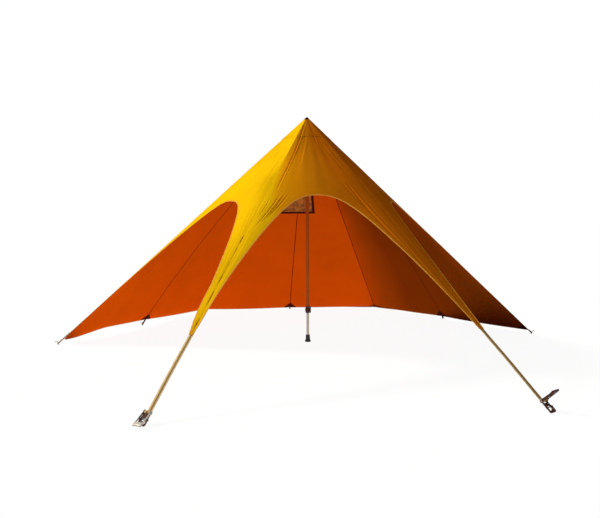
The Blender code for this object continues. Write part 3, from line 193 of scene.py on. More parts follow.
class TentColours(bpy.types.PropertyGroup):
    """Base colours of the finishes; several paint light and shade: the front and right cloth, the inside
    walls, the straps' middles and in part the upper tube.
    """
    yellow: colour("Yellow", "Outside of the left and rear cloth", (0.93, 0.54, 0.003))
    # Painted light and shade across the front cloth: ochre, honey and gold are the yellow cloth darkening
    # away from the left leg.
    gold: colour("Gold", "Outside of the front cloth's middle", (0.62, 0.200, 0.003))
    ochre_shade: colour("Ochre", "Outside of the front cloth beside the left leg", (0.95, 0.39, 0.003))
    honey_shade: colour("Honey", "Outside of the front cloth between left leg and middle", (0.82, 0.285, 0.003))
    pucker: colour("Pucker", "Shadows in the puckered front seam", (0.30, 0.120, 0.004))
    # Painted shade: the yellow cloth darkened on the right front and the right wall, which face away from
    # the sun.
    amber: colour("Amber", "Outside of the right front cloth", (0.56, 0.142, 0.002))
    # Painted light and shade inside: glow is the lit inside of the left and back walls, shade and deep shade
    # the shaded right wall.
    glow: colour("Glow", "Inside of the left and back walls", (0.60, 0.082, 0.001))
    shade: colour("Shade", "Inside of the right wall", (0.34, 0.056, 0.002))
    deep_shade: colour("Deep shade", "Inside of the right wall near its corner", (0.18, 0.036, 0.002))
    inner: colour("Inner", "Inside of the doorway panels", (0.56, 0.12, 0.002))
    binding: colour("Binding", "Tape round the doorways", (0.96, 0.45, 0.075))
    seam: colour("Seam tape", "Tape along the seams inside", (0.15, 0.012, 0.002))
    maroon: colour("Maroon", "Window binding, patches and loops", (0.060, 0.010, 0.008))
    hem: colour("Hem tape", "Tape along the hem", (0.66, 0.48, 0.36))
    thread: colour("Thread", "Stitching", (0.78, 0.36, 0.02))
    strap: colour("Strap", "Leg straps", (0.95, 0.70, 0.37))
    # Painted shade down the middle of the straps, leaving their edges light.
    strap_middle_shade: colour("Strap line", "Dark middle of the leg straps", (0.28, 0.175, 0.065))
    pane: colour("Pane", "Window film", (0.37, 0.115, 0.006))
    # Partly the upper tube's paint, and partly painted shade from the orange inside of the canopy.
    bronze: colour("Bronze", "Paint of the upper tube", (0.42, 0.090, 0.009))
    pale_metal: colour("Pale metal", "Lower tube", (0.52, 0.46, 0.38))
    zinc: colour("Zinc", "Galvanised steel", (0.50, 0.45, 0.37))
    dark_steel: colour("Dark steel", "Brown steel of ratchets, pawls and stakes", (0.062, 0.020, 0.010))
    plastic: colour("Plastic", "Collar and lever", (0.035, 0.028, 0.030))
    rubber: colour("Rubber", "Foot of the pole", (0.022, 0.020, 0.022))


class StageSizes(bpy.types.PropertyGroup):
    """Floor, lamps and camera."""
    floor_size: length("Floor size", "Side of the floor", 300.0)
    floor_colour: colour("Floor", "Colour of the floor", (0.62, 0.62, 0.62))
    lens: FloatProperty(name="Lens", description="Focal length of the camera in millimetres",
                        default=36.1, unit="CAMERA")
    camera_pitch: angle("Camera pitch", "How far the camera looks down", 4.60)
    camera_roll: angle("Camera roll", "How far the camera is rolled", 0.31)
    key: FloatProperty(name="Key", description="Strength of the sun lamp", default=3.1)
    bounce: FloatProperty(name="Bounce", description="Power of the lamp on the ground under the canopy",
                          default=48.0)
    fill: FloatProperty(name="Fill", description="Strength of the world's light", default=0.26)


def canopy():
    """Sizes of the canopy in the current scene."""
    return bpy.context.scene.star_tent_canopy


def trim():
    """Sizes of tapes, seams and webbing in the current scene."""
    return bpy.context.scene.star_tent_trim


def hardware():
    """Sizes of the pole, ratchets and pegs in the current scene."""
    return bpy.context.scene.star_tent_hardware


def colours():
    """Base colours in the current scene."""
    return bpy.context.scene.star_tent_colours


# The canopy's surface: seams run from the tip to the six corners, and a side spans two of them.
# across is -1 to 1 between a side's two seams, and along is 0 at the tip and 1 on the ground.

SLACK_DEPTH = 0.0016  # of the soft waves in the pitched cloth
SLACK_REACH = 0.28  # across value over which the hem's slack at the rear right corner fades
PLEATS_END = (0.22, 0.16)  # along value at which the pleats start to fade, and how long that takes


def seam_ray(corner):
    """Azimuth from -Y towards +X in degrees, reach on the ground, height of the corner."""
    sizes = canopy()
    azimuth = -30.0 + 60.0 * corner
    if CORNERS[corner] == "left":
        return azimuth - degrees(sizes.left_swing), sizes.left_reach, sizes.left_lift
    if CORNERS[corner] == "right":
        return azimuth + degrees(sizes.right_swing), sizes.right_reach, sizes.right_lift
    if CORNERS[corner] == "front_right":
        return azimuth - degrees(sizes.front_right_swing), sizes.front_right_reach, 0.0
    return azimuth, sizes.front_left_reach if CORNERS[corner] == "front_left" else sizes.rear_reach, 0.0


def ray_point(azimuth, reach, end_height, along):
    """Points on a ray from the tip, which ends at a reach and a height."""
    turn = np.radians(azimuth)
    height = canopy().peak_height + (end_height - canopy().peak_height) * along
    away = reach * along
    return np.stack(np.broadcast_arrays(away * np.sin(turn), -away * np.cos(turn), height), -1)


def side_rays(side):
    """The rays of a side's two corners, the second one further round than the first."""
    first = seam_ray(side)
    second = seam_ray((side + 1) % 6)
    if second[0] < first[0]:
        second = (second[0] + 360.0, second[1], second[2])
    return first, second


def ease(value):
    """0 below 0, 1 above 1 and smooth between them."""
    value = np.clip(value, 0.0, 1.0)
    return value * value * (3.0 - 2.0 * value)


def crown_reach():
    """Distance down the canopy at which its panels start to turn from flat to round."""
    return drop_along(canopy().crown_drop + canopy().crown_margin)


def drop_along(drop):
    """Distance down the canopy of a drop from the tip."""
    return drop / canopy().peak_height


def below_crown(along, fade=0.2):
    """0 on the crown and 1 well below it."""
    return ease((along - crown_reach()) / fade)


def flatness(side, along):
    """0 where a side is round between its seams, 1 where it is flat."""
    sizes = canopy()
    lower = sizes.open_flatness if side in OPEN_SIDES else np.maximum(along, 0.0) ** sizes.wall_flattening
    blend = below_crown(along)
    return (1.0 - blend) + blend * lower


def smooth_point(side, across, along):
    """Point of the canopy without its folds."""
    across, along = np.broadcast_arrays(np.asarray(across, float), np.asarray(along, float))
    first, second = side_rays(side)
    part = (across + 1.0) / 2.0
    flat = ray_point(*first, along)
    flat = flat + (ray_point(*second, along) - flat) * part[..., None]
    between = [a + (b - a) * part for a, b in zip(first, second)]
    rounded = ray_point(*between, along)
    return rounded + (flat - rounded) * flatness(side, along)[..., None]


def fall(side, across, along):
    """Short step down the canopy at a point."""
    step = 0.004
    return smooth_point(side, across, along + step) - smooth_point(side, across, along - step)


def outward(side, across, along):
    """Unit normal of the canopy in the upright plane through the pole."""
    here = smooth_point(side, across, along)
    run = fall(side, across, along)
    radial = here * [1.0, 1.0, 0.0]
    radial = radial / np.maximum(np.linalg.norm(radial, axis=-1, keepdims=True), 1e-9)
    rise = (run * radial).sum(-1, keepdims=True)
    normal = radial * -run[..., 2:3] + np.array([0.0, 0.0, 1.0]) * rise
    return normal / np.linalg.norm(normal, axis=-1, keepdims=True)


def half_width(side, along):
    """Half the width of a side at one distance down the canopy."""
    apart = smooth_point(side, 0.1, along) - smooth_point(side, -0.1, along)
    return np.linalg.norm(apart, axis=-1) / 0.2


# Folds of the pitched cloth: side, then across and along of both ends, width and depth in metres
FOLDS = [
    (0, -0.66, 0.02, -0.80, 0.34, 0.009, 0.0110), (0, 0.40, 0.02, 0.30, 0.14, 0.007, 0.0050),
    (0, 0.58, 0.11, 0.82, 0.28, 0.010, 0.0040), (0, -0.30, 0.05, -0.44, 0.24, 0.012, 0.0022),
    (0, -0.90, 0.37, -0.965, 0.46, 0.008, 0.0080), (0, -0.85, 0.37, -0.940, 0.46, 0.008, 0.0075),
    (0, -0.70, 0.355, -0.90, 0.48, 0.009, 0.0085), (0, -0.62, 0.352, -0.86, 0.47, 0.008, 0.0080),
    (0, -0.54, 0.35, -0.80, 0.45, 0.008, 0.0035), (0, -0.93, 0.48, -0.982, 0.68, 0.010, 0.0045),
    (0, 0.62, 0.31, 0.90, 0.58, 0.010, 0.0110), (0, 0.52, 0.30, 0.74, 0.43, 0.012, 0.0040),
    (0, 0.88, 0.50, 0.960, 0.72, 0.010, 0.0060), (0, 0.74, 0.36, 0.88, 0.50, 0.014, 0.0025),
    (5, 0.70, 0.06, 0.84, 0.36, 0.016, 0.0030), (5, 0.93, 0.38, 0.975, 0.48, 0.008, 0.0045),
    (5, 0.86, 0.40, 0.955, 0.52, 0.009, 0.0040), (5, 0.91, 0.50, 0.975, 0.68, 0.010, 0.0040),
    (5, 0.30, 0.06, 0.24, 0.30, 0.020, 0.0025), (5, -0.55, 0.08, -0.62, 0.40, 0.020, 0.0030),
    (5, -0.84, 0.36, -0.965, 0.62, 0.016, 0.0040), (5, -0.12, 0.06, -0.20, 0.26, 0.018, 0.0025),
    (1, -0.66, 0.06, -0.82, 0.36, 0.018, 0.0040), (1, -0.88, 0.38, -0.975, 0.66, 0.014, 0.0045),
    (1, -0.20, 0.06, -0.28, 0.30, 0.020, 0.0030), (1, 0.48, 0.07, 0.56, 0.38, 0.022, 0.0030),
    (1, 0.84, 0.36, 0.965, 0.62, 0.016, 0.0040), (1, -0.78, 0.40, -0.94, 0.56, 0.010, 0.0030),
    (2, -0.95, 0.97, -0.62, 0.62, 0.040, 0.0050), (2, -0.06, 0.97, -0.22, 0.74, 0.030, 0.0035),
    (2, 0.06, 0.97, 0.20, 0.76, 0.030, 0.0035), (2, 0.95, 0.97, 0.66, 0.66, 0.040, 0.0050),
    (2, 0.90, 0.955, 0.20, 0.915, 0.030, 0.0110), (2, -0.92, 0.90, -0.62, 0.66, 0.034, 0.0100),
    (2, -0.86, 0.93, -0.50, 0.72, 0.034, 0.0090), (2, -0.78, 0.95, -0.38, 0.80, 0.034, 0.0080),
    (3, -0.95, 0.97, -0.66, 0.66, 0.040, 0.0050), (3, 0.95, 0.97, 0.64, 0.64, 0.040, 0.0050),
    (3, -0.07, 0.97, -0.24, 0.76, 0.030, 0.0035), (3, 0.07, 0.97, 0.22, 0.74, 0.030, 0.0035),
    (4, -0.95, 0.97, -0.66, 0.66, 0.040, 0.0050), (4, 0.95, 0.97, 0.60, 0.62, 0.045, 0.0050),
    (4, -0.06, 0.97, -0.20, 0.76, 0.030, 0.0035), (4, 0.06, 0.97, 0.22, 0.74, 0.030, 0.0035),
    (2, -0.55, 0.06, -0.50, 0.34, 0.022, 0.0030), (2, 0.45, 0.06, 0.40, 0.34, 0.022, 0.0030),
    (3, -0.50, 0.06, -0.45, 0.34, 0.022, 0.0030), (3, 0.55, 0.06, 0.52, 0.34, 0.022, 0.0030),
    (4, -0.50, 0.06, -0.46, 0.34, 0.022, 0.0030), (4, 0.40, 0.06, 0.36, 0.34, 0.022, 0.0030),
]


def leg_rounding(side, across, along):
    """How far the cloth stands off its flat sides beside the two front seams, so that a leg is round."""
    sizes = canopy()
    height = np.zeros(np.shape(across))
    wide = half_width(side, along)
    for end, sides in ((-1.0, (0, 1)), (1.0, (0, 5))):
        if side in sides:
            away = np.maximum(1.0 - end * across, 0.0) * wide
            height += sizes.leg_turn * away * np.exp(-away / sizes.leg_round)
    return height * below_crown(along)


def fold_height(side, across, along):
    """How far the cloth stands off its smooth surface: pleats below the crown, folds and slack."""
    sizes = canopy()
    across, along = np.broadcast_arrays(np.asarray(across, float), np.asarray(along, float))
    height = np.zeros(across.shape)
    wide = half_width(side, along)
    if side in OPEN_SIDES:
        fade, length_of_fade = PLEATS_END
        fan = below_crown(along, 0.08) * (1.0 - ease((along - fade) / length_of_fade))
        height -= sizes.pleat_depth * fan * np.sin(sizes.pleats * pi * across) ** 2
    for owner, across_a, along_a, across_b, along_b, width, depth in FOLDS:
        if owner != side:
            continue
        part = (along - along_a) / (along_b - along_a)
        middle = across_a + (across_b - across_a) * np.clip(part, 0.0, 1.0)
        away = (across - middle) * wide / width
        inside = np.sin(pi * np.clip(part, 0.0, 1.0)) ** 0.6
        height += depth * inside * (0.55 * np.exp(-((away - 1.5) ** 2)) - np.exp(-(away ** 2)))
    still = (1.0 - np.abs(np.clip(across, -1.0, 1.0)) ** 12)
    slack = SLACK_DEPTH * np.sin(5.3 * across + 9.0 * along + side)
    slack = slack * np.sin(7.1 * along - 2.2 * across + 2.0 * side)
    return (height + slack) * still + leg_rounding(side, across, along)


def cloth_point(side, across, along, lift=0.0):
    """Point of the canopy with its folds, lifted off the cloth's middle."""
    across, along = np.broadcast_arrays(np.asarray(across, float), np.asarray(along, float))
    rise = np.asarray(lift + fold_height(side, across, along))
    return smooth_point(side, across, along) + outward(side, across, along) * rise[..., None]


def arch_shape(side):
    """Height of a doorway, and how steeply its edge falls."""
    sizes = canopy()
    return (sizes.front_arch, sizes.front_rise) if side == 0 else (sizes.side_arch, sizes.side_rise)


def arch_along(side, across):
    """Distance down the canopy at which a doorway's edge lies."""
    height, rise = arch_shape(side)
    spread = canopy().arch_spread
    return 1.0 - height / canopy().peak_height * (1.0 - np.abs(across) ** spread) ** rise


def arch_limit(side):
    """The across value at which a doorway's edge reaches the leg's tip."""
    height, rise = arch_shape(side)
    return (1.0 - (canopy().leg_tip / height) ** (1.0 / rise)) ** (1.0 / canopy().arch_spread)


# How far the edge of a doorway's cloth hangs past its even arch: (across, metres) pairs of each side
EDGE_SHIFTS = {
    0: ((-0.983, 0.001), (-0.977, 0.009), (-0.966, 0.004), (-0.95, 0.0), (0.0, 0.0), (0.30, 0.016),
        (0.60, 0.026), (0.80, 0.030), (0.95, 0.024), (1.0, 0.014)),
    1: ((-1.0, 0.008), (-0.95, 0.016), (-0.70, 0.010), (-0.30, 0.0), (0.0, 0.0)),
    5: ((0.0, 0.0), (0.80, 0.006), (0.935, 0.013), (0.957, 0.028), (0.970, 0.034), (0.979, 0.026),
        (0.987, 0.007)),
}


def arch_line(side, pieces):
    """Evenly spaced across and along values down a doorway's edge."""
    turn = np.linspace(-1.0, 1.0, 1601)
    across = arch_limit(side) * (1.0 - (1.0 - np.abs(turn)) ** 2.5) * np.sign(turn)
    along = arch_along(side, across)
    steps = np.linalg.norm(np.diff(smooth_point(side, across, along), axis=0), axis=1)
    travelled = np.concatenate([[0.0], np.cumsum(steps)])
    wanted = np.linspace(0.0, travelled[-1], pieces + 1)
    across, along = np.interp(wanted, travelled, across), np.interp(wanted, travelled, along)
    return inset(side, across, along, -np.interp(across, *np.transpose(EDGE_SHIFTS[side])))


def inset(side, across, along, distance):
    """Move a line of surface values into the cloth, measured on the surface."""
    step = 0.001
    here = smooth_point(side, across, along)
    by_across = (smooth_point(side, across + step, along) - here) / step
    by_along = (smooth_point(side, across, along + step) - here) / step
    normal = np.cross(by_along, by_across)
    normal /= np.linalg.norm(normal, axis=-1, keepdims=True)
    run = np.gradient(here, axis=0)
    push = np.cross(normal, run)
    push *= np.reshape(distance, (-1, 1)) / np.linalg.norm(push, axis=-1, keepdims=True)
    aa, ab, bb = ((p * q).sum(-1) for p, q in
                  ((by_across, by_across), (by_across, by_along), (by_along, by_along)))
    pa, pb = (by_across * push).sum(-1), (by_along * push).sum(-1)
    bottom = aa * bb - ab * ab
    return across + (pa * bb - pb * ab) / bottom, along + (pb * aa - pa * ab) / bottom


def corner_height(side, across):
    """Height at which the canopy's line ends, between the side's two corners."""
    first, second = side_rays(side)
    return first[2] + (second[2] - first[2]) * (across + 1.0) / 2.0


def along_at(side, across, height):
    """Distance down the canopy of a height."""
    peak = canopy().peak_height
    return (peak - height) / (peak - corner_height(side, across))


def hem_along(side, across, slack=True):
    """Distance down the canopy of the hem, which lifts a little between its pegs."""
    sizes = canopy()
    across = np.asarray(across, float)
    way = np.abs(across)
    sag = sizes.hem_sag * 4.0 * way * (1.0 - way)
    if side == 4:
        sag = sag + sizes.corner_drop * blunt(across)
    if slack and side in (2, 3):
        away = (1.0 - across if side == 2 else 1.0 + across) / SLACK_REACH
        sag = sag + sizes.rear_slack * np.exp(-(away ** 2))
    return along_at(side, across, corner_height(side, across) + sizes.hem_height - sag)


def blunt(across):
    """Outline of the left corner: a round end, and then a hem that rises back to its line."""
    start, stop = 0.50, 0.955
    inner = 1.0 - ease((stop - across) / (stop - start))
    outer = np.sqrt(np.clip(1.0 - ((across - stop) / (1.0 - stop)) ** 2, 0.0, 1.0))
    return np.where(across < stop, inner, outer)


def slope_length():
    """Length of a rear seam from the tip to the ground."""
    return hypot(canopy().rear_reach, canopy().peak_height)


# Meshes

def add_object(name, data):
    """An object of the scene with this mesh, lamp or camera."""
    made = bpy.data.objects.new(name, data)
    bpy.context.collection.objects.link(made)
    return made


def piece(name, points, faces, keys, slots=None, loops=None, sharp=40):
    """A mesh object with its place in its mesh, its faces turned outwards and an optional UV map."""
    mesh = bpy.data.meshes.new(name)
    mesh.from_pydata([tuple(point) for point in np.asarray(points, float)], [], faces)
    if loops is not None:
        layer = mesh.uv_layers.new(name="Cloth")
        layer.data.foreach_set("uv", np.asarray(loops, np.float32).ravel())
    for key in keys:
        mesh.materials.append(finish_of(key))
    if slots is not None:
        mesh.polygons.foreach_set("material_index", slots)
    mesh.update()
    corners = np.array([vertex.co for vertex in mesh.vertices])
    volume = 0.0
    for face in faces:
        fan = corners[list(face)]
        volume += np.einsum("ij,ij->", np.cross(fan[1:-1] - corners[0], fan[2:] - corners[0]),
                            np.broadcast_to(fan[0] - corners[0], fan[1:-1].shape))
    if volume < 0.0:
        mesh.flip_normals()
    mesh.shade_smooth()
    mesh.set_sharp_from_angle(angle=radians(sharp))
    return add_object(name, mesh)


def grid_quads(columns, rows, skip=None):
    """Faces of a grid whose points are numbered column by column."""
    quads = []
    for column in range(columns - 1):
        for row in range(rows - 1):
            if skip is None or not skip[column, row]:
                start = column * rows + row
                quads.append((start, start + 1, start + rows + 1, start + rows))
    return quads


def cloth_piece(name, side, across, along, lifts, keys, skip=None):
    """A sheet with two skins over a grid of across and along values, closed round its rim."""
    columns, rows = across.shape
    upper = cloth_point(side, across, along, lifts[0]).reshape(-1, 3)
    lower = cloth_point(side, across, along, lifts[1]).reshape(-1, 3)
    total = len(upper)
    quads = grid_quads(columns, rows, skip)
    used = set()
    for quad in quads:
        used.update(zip(quad, quad[1:] + quad[:1]))
    rim = [(end, start, start + total, end + total) for start, end in used if (end, start) not in used]
    rim.sort()
    halves = [half for a, b, c, d in quads for half in ((a, b, c), (a, c, d))]
    faces = halves + [tuple(index + total for index in reversed(half)) for half in halves] + rim
    slots = [0] * len(halves) + [1] * len(halves) + [0] * len(rim)
    flat = np.stack([across * half_width(side, along), along * slope_length()], -1).reshape(-1, 2)
    loops = flat[np.concatenate([np.array(face) for face in faces]) % total]
    return piece(name, np.concatenate([upper, lower]), faces, keys, slots, loops, sharp=50)


def swept_piece(name, rings, finish, looped=False, sharp=40):
    """A closed shape through rings of points, with its ends capped or joined to each other."""
    rings = np.asarray(rings, float)
    number, size = rings.shape[:2]
    faces = []
    for ring in range(number if looped else number - 1):
        after = (ring + 1) % number
        for point in range(size):
            beside = (point + 1) % size
            faces.append((ring * size + point, ring * size + beside,
                          after * size + beside, after * size + point))
    if not looped:
        faces.append(tuple(reversed(range(size))))
        faces.append(tuple(range((number - 1) * size, number * size)))
    steps = np.linalg.norm(np.diff(rings.mean(axis=1), axis=0), axis=1)
    travelled = np.concatenate([[0.0], np.cumsum(steps)])
    turn = np.linalg.norm(np.roll(rings[0], -1, axis=0) - rings[0], axis=1)
    around = np.concatenate([[0.0], np.cumsum(turn)])
    loops = [(around[index % size], travelled[index // size]) for face in faces for index in face]
    return piece(name, rings.reshape(-1, 3), faces, [finish], loops=loops, sharp=sharp)


def turned_piece(name, profile, finish, steps=64, place=Matrix.Identity(4)):
    """A profile of radius and height turned about the Z axis, closed where the radius is 0."""
    points, rings = [], []
    for radius, height in profile:
        if radius == 0.0:
            rings.append([len(points)])
            points.append(place @ Vector((0.0, 0.0, height)))
            continue
        ring = []
        for step in range(steps):
            turn = 2 * pi * step / steps
            ring.append(len(points))
            points.append(place @ Vector((radius * cos(turn), radius * sin(turn), height)))
        rings.append(ring)
    faces = []
    for first, second in zip(rings, rings[1:] + rings[:1]):
        if len(first) == 1 and len(second) == 1:
            continue
        for step in range(steps):
            after = (step + 1) % steps
            face = (first[step % len(first)], first[after % len(first)],
                    second[after % len(second)], second[step % len(second)])
            faces.append(tuple(dict.fromkeys(face)))
    return piece(name, points, faces, [finish], sharp=35)


def placed_axes(along_x, along_y, along_z, place):
    """Matrix with these three axes at a place."""
    matrix = Matrix.Identity(4)
    for index, column in enumerate((along_x, along_y, along_z, place)):
        matrix.col[index] = (*column, 1.0 if index == 3 else 0.0)
    return matrix


def rod_rings(points, radius, steps=14):
    """Round cross-sections along a line of points."""
    points = np.asarray(points, float)
    run = np.gradient(points, axis=0)
    run /= np.linalg.norm(run, axis=1, keepdims=True)
    start = np.array([0.0, 0.0, 1.0]) if abs(run[0][2]) < 0.9 else np.array([1.0, 0.0, 0.0])
    rings = []
    for point, along in zip(points, run):
        start = start - along * start.dot(along)
        start /= np.linalg.norm(start)
        beside = np.cross(along, start)
        turns = 2 * pi * np.arange(steps) / steps
        rings.append(point + radius * (np.outer(np.cos(turns), start) + np.outer(np.sin(turns), beside)))
    return rings


# Finishes

FAN_MIDDLE = 1.05  # metres from the tip at which a slanted fan isn't shifted
RIB_PITCH = 0.0032  # of the webbing's ribs
STRAP_EDGE = 0.0035  # width of the webbing's flat edges


class Finish:
    """A node material with a Principled shader, and helpers that add its nodes."""

    def __init__(self, name, roughness, metallic=0.0):
        self.material = bpy.data.materials.new(name)
        self.material.use_nodes = True
        self.nodes = self.material.node_tree.nodes
        self.links = self.material.node_tree.links
        self.shader = self.nodes["Principled BSDF"]
        self.source = self.nodes.new("ShaderNodeTexCoord")
        self.feed("Roughness", roughness)
        self.feed("Metallic", metallic)

    def put(self, socket, value):
        """Link a node's output to a socket, or set the socket's own value."""
        if isinstance(value, bpy.types.NodeSocket):
            self.links.new(value, socket)
        else:
            socket.default_value = value

    def feed(self, name, value):
        self.put(self.shader.inputs[name], value)

    def uv(self):
        """Distances across a piece and down it, in metres."""
        split = self.nodes.new("ShaderNodeSeparateXYZ")
        self.put(split.inputs["Vector"], self.source.outputs["UV"])
        return split.outputs["X"], split.outputs["Y"]

    def noise(self, scale, detail=3.0, stretch=(1.0, 1.0, 1.0)):
        mapping = self.nodes.new("ShaderNodeMapping")
        self.put(mapping.inputs["Scale"], stretch)
        self.put(mapping.inputs["Vector"], self.source.outputs["Object"])
        texture = self.nodes.new("ShaderNodeTexNoise")
        self.put(texture.inputs["Scale"], scale)
        self.put(texture.inputs["Detail"], detail)
        self.put(texture.inputs["Vector"], mapping.outputs["Vector"])
        return texture.outputs["Fac"]

    def ridges(self, scale, direction):
        texture = self.nodes.new("ShaderNodeTexWave")
        texture.wave_type = "BANDS"
        texture.bands_direction = direction
        self.put(texture.inputs["Scale"], scale)
        self.put(texture.inputs["Vector"], self.source.outputs["UV"])
        return texture.outputs["Fac"]

    def maths(self, operation, first, second=0.0):
        node = self.nodes.new("ShaderNodeMath")
        node.operation = operation
        self.put(node.inputs[0], first)
        self.put(node.inputs[1], second)
        return node.outputs[0]

    def ramp(self, factor, stops):
        """Colours or greys at places between 0 and 1."""
        node = self.nodes.new("ShaderNodeValToRGB")
        node.color_ramp.elements[0].position = stops[0][0]
        node.color_ramp.elements[1].position = stops[-1][0]
        for place, _ in stops[1:-1]:
            node.color_ramp.elements.new(place)
        for element, (_, value) in zip(node.color_ramp.elements, stops):
            element.color = (value, value, value, 1.0) if isinstance(value, float) else (*value, 1.0)
        self.put(node.inputs["Fac"], factor)
        return node.outputs["Color"]

    def fan(self, stops, slant=0.0):
        """Colours that fade from a side's first seam to its second, and shift with the distance down:
        painted light and shade across a side.
        """
        across, down = self.uv()
        spread = float(half_width(0, 1.0)) / slope_length()
        slope = self.maths("MULTIPLY", self.maths("DIVIDE", across, down), 0.5 / spread)
        place = self.maths("ADD", slope, 0.5 + slant * FAN_MIDDLE)
        if slant:
            place = self.maths("SUBTRACT", place, self.maths("MULTIPLY", down, slant))
        return self.ramp(place, stops)

    def mix(self, factor, first, second, blend="MIX"):
        """A second colour over a first."""
        node = self.nodes.new("ShaderNodeMix")
        node.data_type = "RGBA"
        node.blend_type = blend
        self.put(node.inputs["Factor"], factor)
        self.put(node.inputs[6], first)
        self.put(node.inputs[7], second)
        return node.outputs[2]

    def bump(self, height, strength, distance):
        node = self.nodes.new("ShaderNodeBump")
        self.put(node.inputs["Strength"], strength)
        self.put(node.inputs["Distance"], distance)
        self.put(node.inputs["Height"], height)
        self.feed("Normal", node.outputs["Normal"])

    def done(self, gloss):
        """Set the share of white reflection, and hand over the material."""
        self.feed("Specular IOR Level", gloss)
        return self.material


def tone(value, factor):
    """A colour made darker or lighter."""
    return tuple(min(max(channel * factor, 0.0), 1.0) for channel in value)


def shades(value, *steps):
    """Stops of a ramp: a colour made darker or lighter at each place."""
    return [(place, tone(value, factor)) for place, factor in steps]


def cloth_finish(name, value, deep=0.86, fan=None, slant=0.0):
    """Coated polyester: mottled colour, a fine grid of stronger threads and a soft crumple; a fan paints
    light and shade across the side.
    """
    finish = Finish(name, 0.62)
    mottled = finish.noise(1.7, 4.0)
    if fan:
        cloud = finish.ramp(mottled, [(0.30, deep), (0.55, 1.0)])
        colour_made = finish.mix(1.0, finish.fan(fan, slant), cloud, "MULTIPLY")
    else:
        colour_made = finish.ramp(mottled, shades(value, (0.30, deep), (0.50, 1.0), (0.72, 1.06)))
    finish.feed("Base Color", colour_made)
    finish.feed("Roughness", finish.ramp(finish.noise(9.0, 2.0), [(0.30, 0.66), (0.70, 0.80)]))
    crumple = finish.noise(26.0, 5.0)
    threads = finish.maths("MAXIMUM", finish.ridges(62.0, "X"), finish.ridges(62.0, "Y"))
    fine = finish.maths("MULTIPLY", finish.maths("POWER", threads, 6.0), 0.12)
    finish.bump(finish.maths("ADD", crumple, fine), 0.22, 0.0035)
    return finish.done(0.0)


def pucker_shadow_finish(name, value, dark, start=1.45):
    """Puckered seam: cloth that is drawn up, with dark spots of painted shadow among lighter ones, from a
    distance down the seam.
    """
    finish = Finish(name, 0.75)
    plain = finish.ramp(finish.maths("SUBTRACT", finish.uv()[1], start), [(0.0, 1.0), (0.25, 0.0)])
    spots = finish.noise(6.0, 4.0)
    clear = finish.maths("ADD", spots, plain)
    finish.feed("Base Color", finish.ramp(clear, [(0.46, tuple(dark)), (0.60, tuple(value))]))
    finish.bump(spots, 0.5, 0.003)
    return finish.done(0.0)


def tape_finish(name, value, pitch=45.0, deep=0.8):
    """Woven tape: ribs across its width, and a mottled colour."""
    finish = Finish(name, 0.74)
    finish.feed("Base Color", finish.ramp(finish.noise(30.0), shades(value, (0.30, deep), (0.65, 1.0))))
    finish.bump(finish.ridges(pitch, "Y"), 0.35, 0.0006)
    return finish.done(0.0)


def strap_finish(name, value, line, width, thickness):
    """Webbing: slanted ribs, painted shade in a dark middle that fades out, and flatter edges."""
    finish = Finish(name, 0.72)
    across, down = finish.uv()
    around = finish.maths("PINGPONG", across, width + thickness)
    middle = finish.maths("ABSOLUTE", finish.maths("SUBTRACT", around, width / 2))
    slant = finish.maths("ADD", middle, down)
    herring = finish.maths("SINE", finish.maths("MULTIPLY", slant, 2 * pi / RIB_PITCH))
    middle_shade = finish.ramp(finish.maths("DIVIDE", middle, width / 2),
                         [(0.0, 0.0), (0.26, 0.12), (0.44, 0.62), (0.86, 1.0)])
    edge = finish.maths("GREATER_THAN", middle, width / 2 - STRAP_EDGE)
    base = finish.ramp(finish.noise(45.0, 4.0), shades(value, (0.30, 0.74), (0.55, 1.0), (0.80, 1.12)))
    finish.feed("Base Color", finish.mix(middle_shade, (*line, 1.0), base))
    ribs = finish.maths("MULTIPLY", herring, 0.5)
    finish.bump(finish.maths("ADD", ribs, finish.maths("MULTIPLY", edge, -0.6)), 0.5, 0.0007)
    return finish.done(0.0)


def metal_finish(name, value, roughness, metallic, mottle, grain, stretch=(1.0, 1.0, 1.0), gloss=0.5):
    """Painted, plated or bare metal with a mottled tone and fine scratches."""
    finish = Finish(name, roughness, metallic)
    mottled = finish.noise(grain, 5.0, stretch)
    finish.feed("Base Color", finish.ramp(
        mottled, shades(value, (0.28, 1.0 - mottle), (0.52, 1.0), (0.75, 1.0 + mottle))))
    scuff = finish.noise(grain * 4.0, 3.0, stretch)
    finish.feed("Roughness", finish.ramp(scuff, [(0.30, roughness - 0.08), (0.70, roughness + 0.12)]))
    finish.bump(scuff, 0.12, 0.0006)
    return finish.done(gloss)


def plastic_finish(name, value, roughness):
    """Moulded plastic or rubber with a fine grain."""
    finish = Finish(name, roughness)
    finish.feed("Base Color", finish.ramp(finish.noise(18.0), shades(value, (0.30, 0.8), (0.70, 1.25))))
    grain = finish.noise(900.0, 2.0)
    finish.feed("Roughness", finish.ramp(grain, [(0.30, roughness - 0.06), (0.70, roughness + 0.08)]))
    finish.bump(grain, 0.25, 0.0004)
    return finish.done(0.5)


def pane_finish(name, value):
    """Smoke-brown window film, glossy and a little cloudy."""
    finish = Finish(name, 0.30)
    finish.feed("Base Color", finish.ramp(finish.noise(16.0), shades(value, (0.35, 0.45), (0.62, 1.25))))
    finish.bump(finish.noise(11.0, 2.0), 0.35, 0.006)
    finish.feed("Alpha", 0.98)
    return finish.done(0.12)


finishes = {}


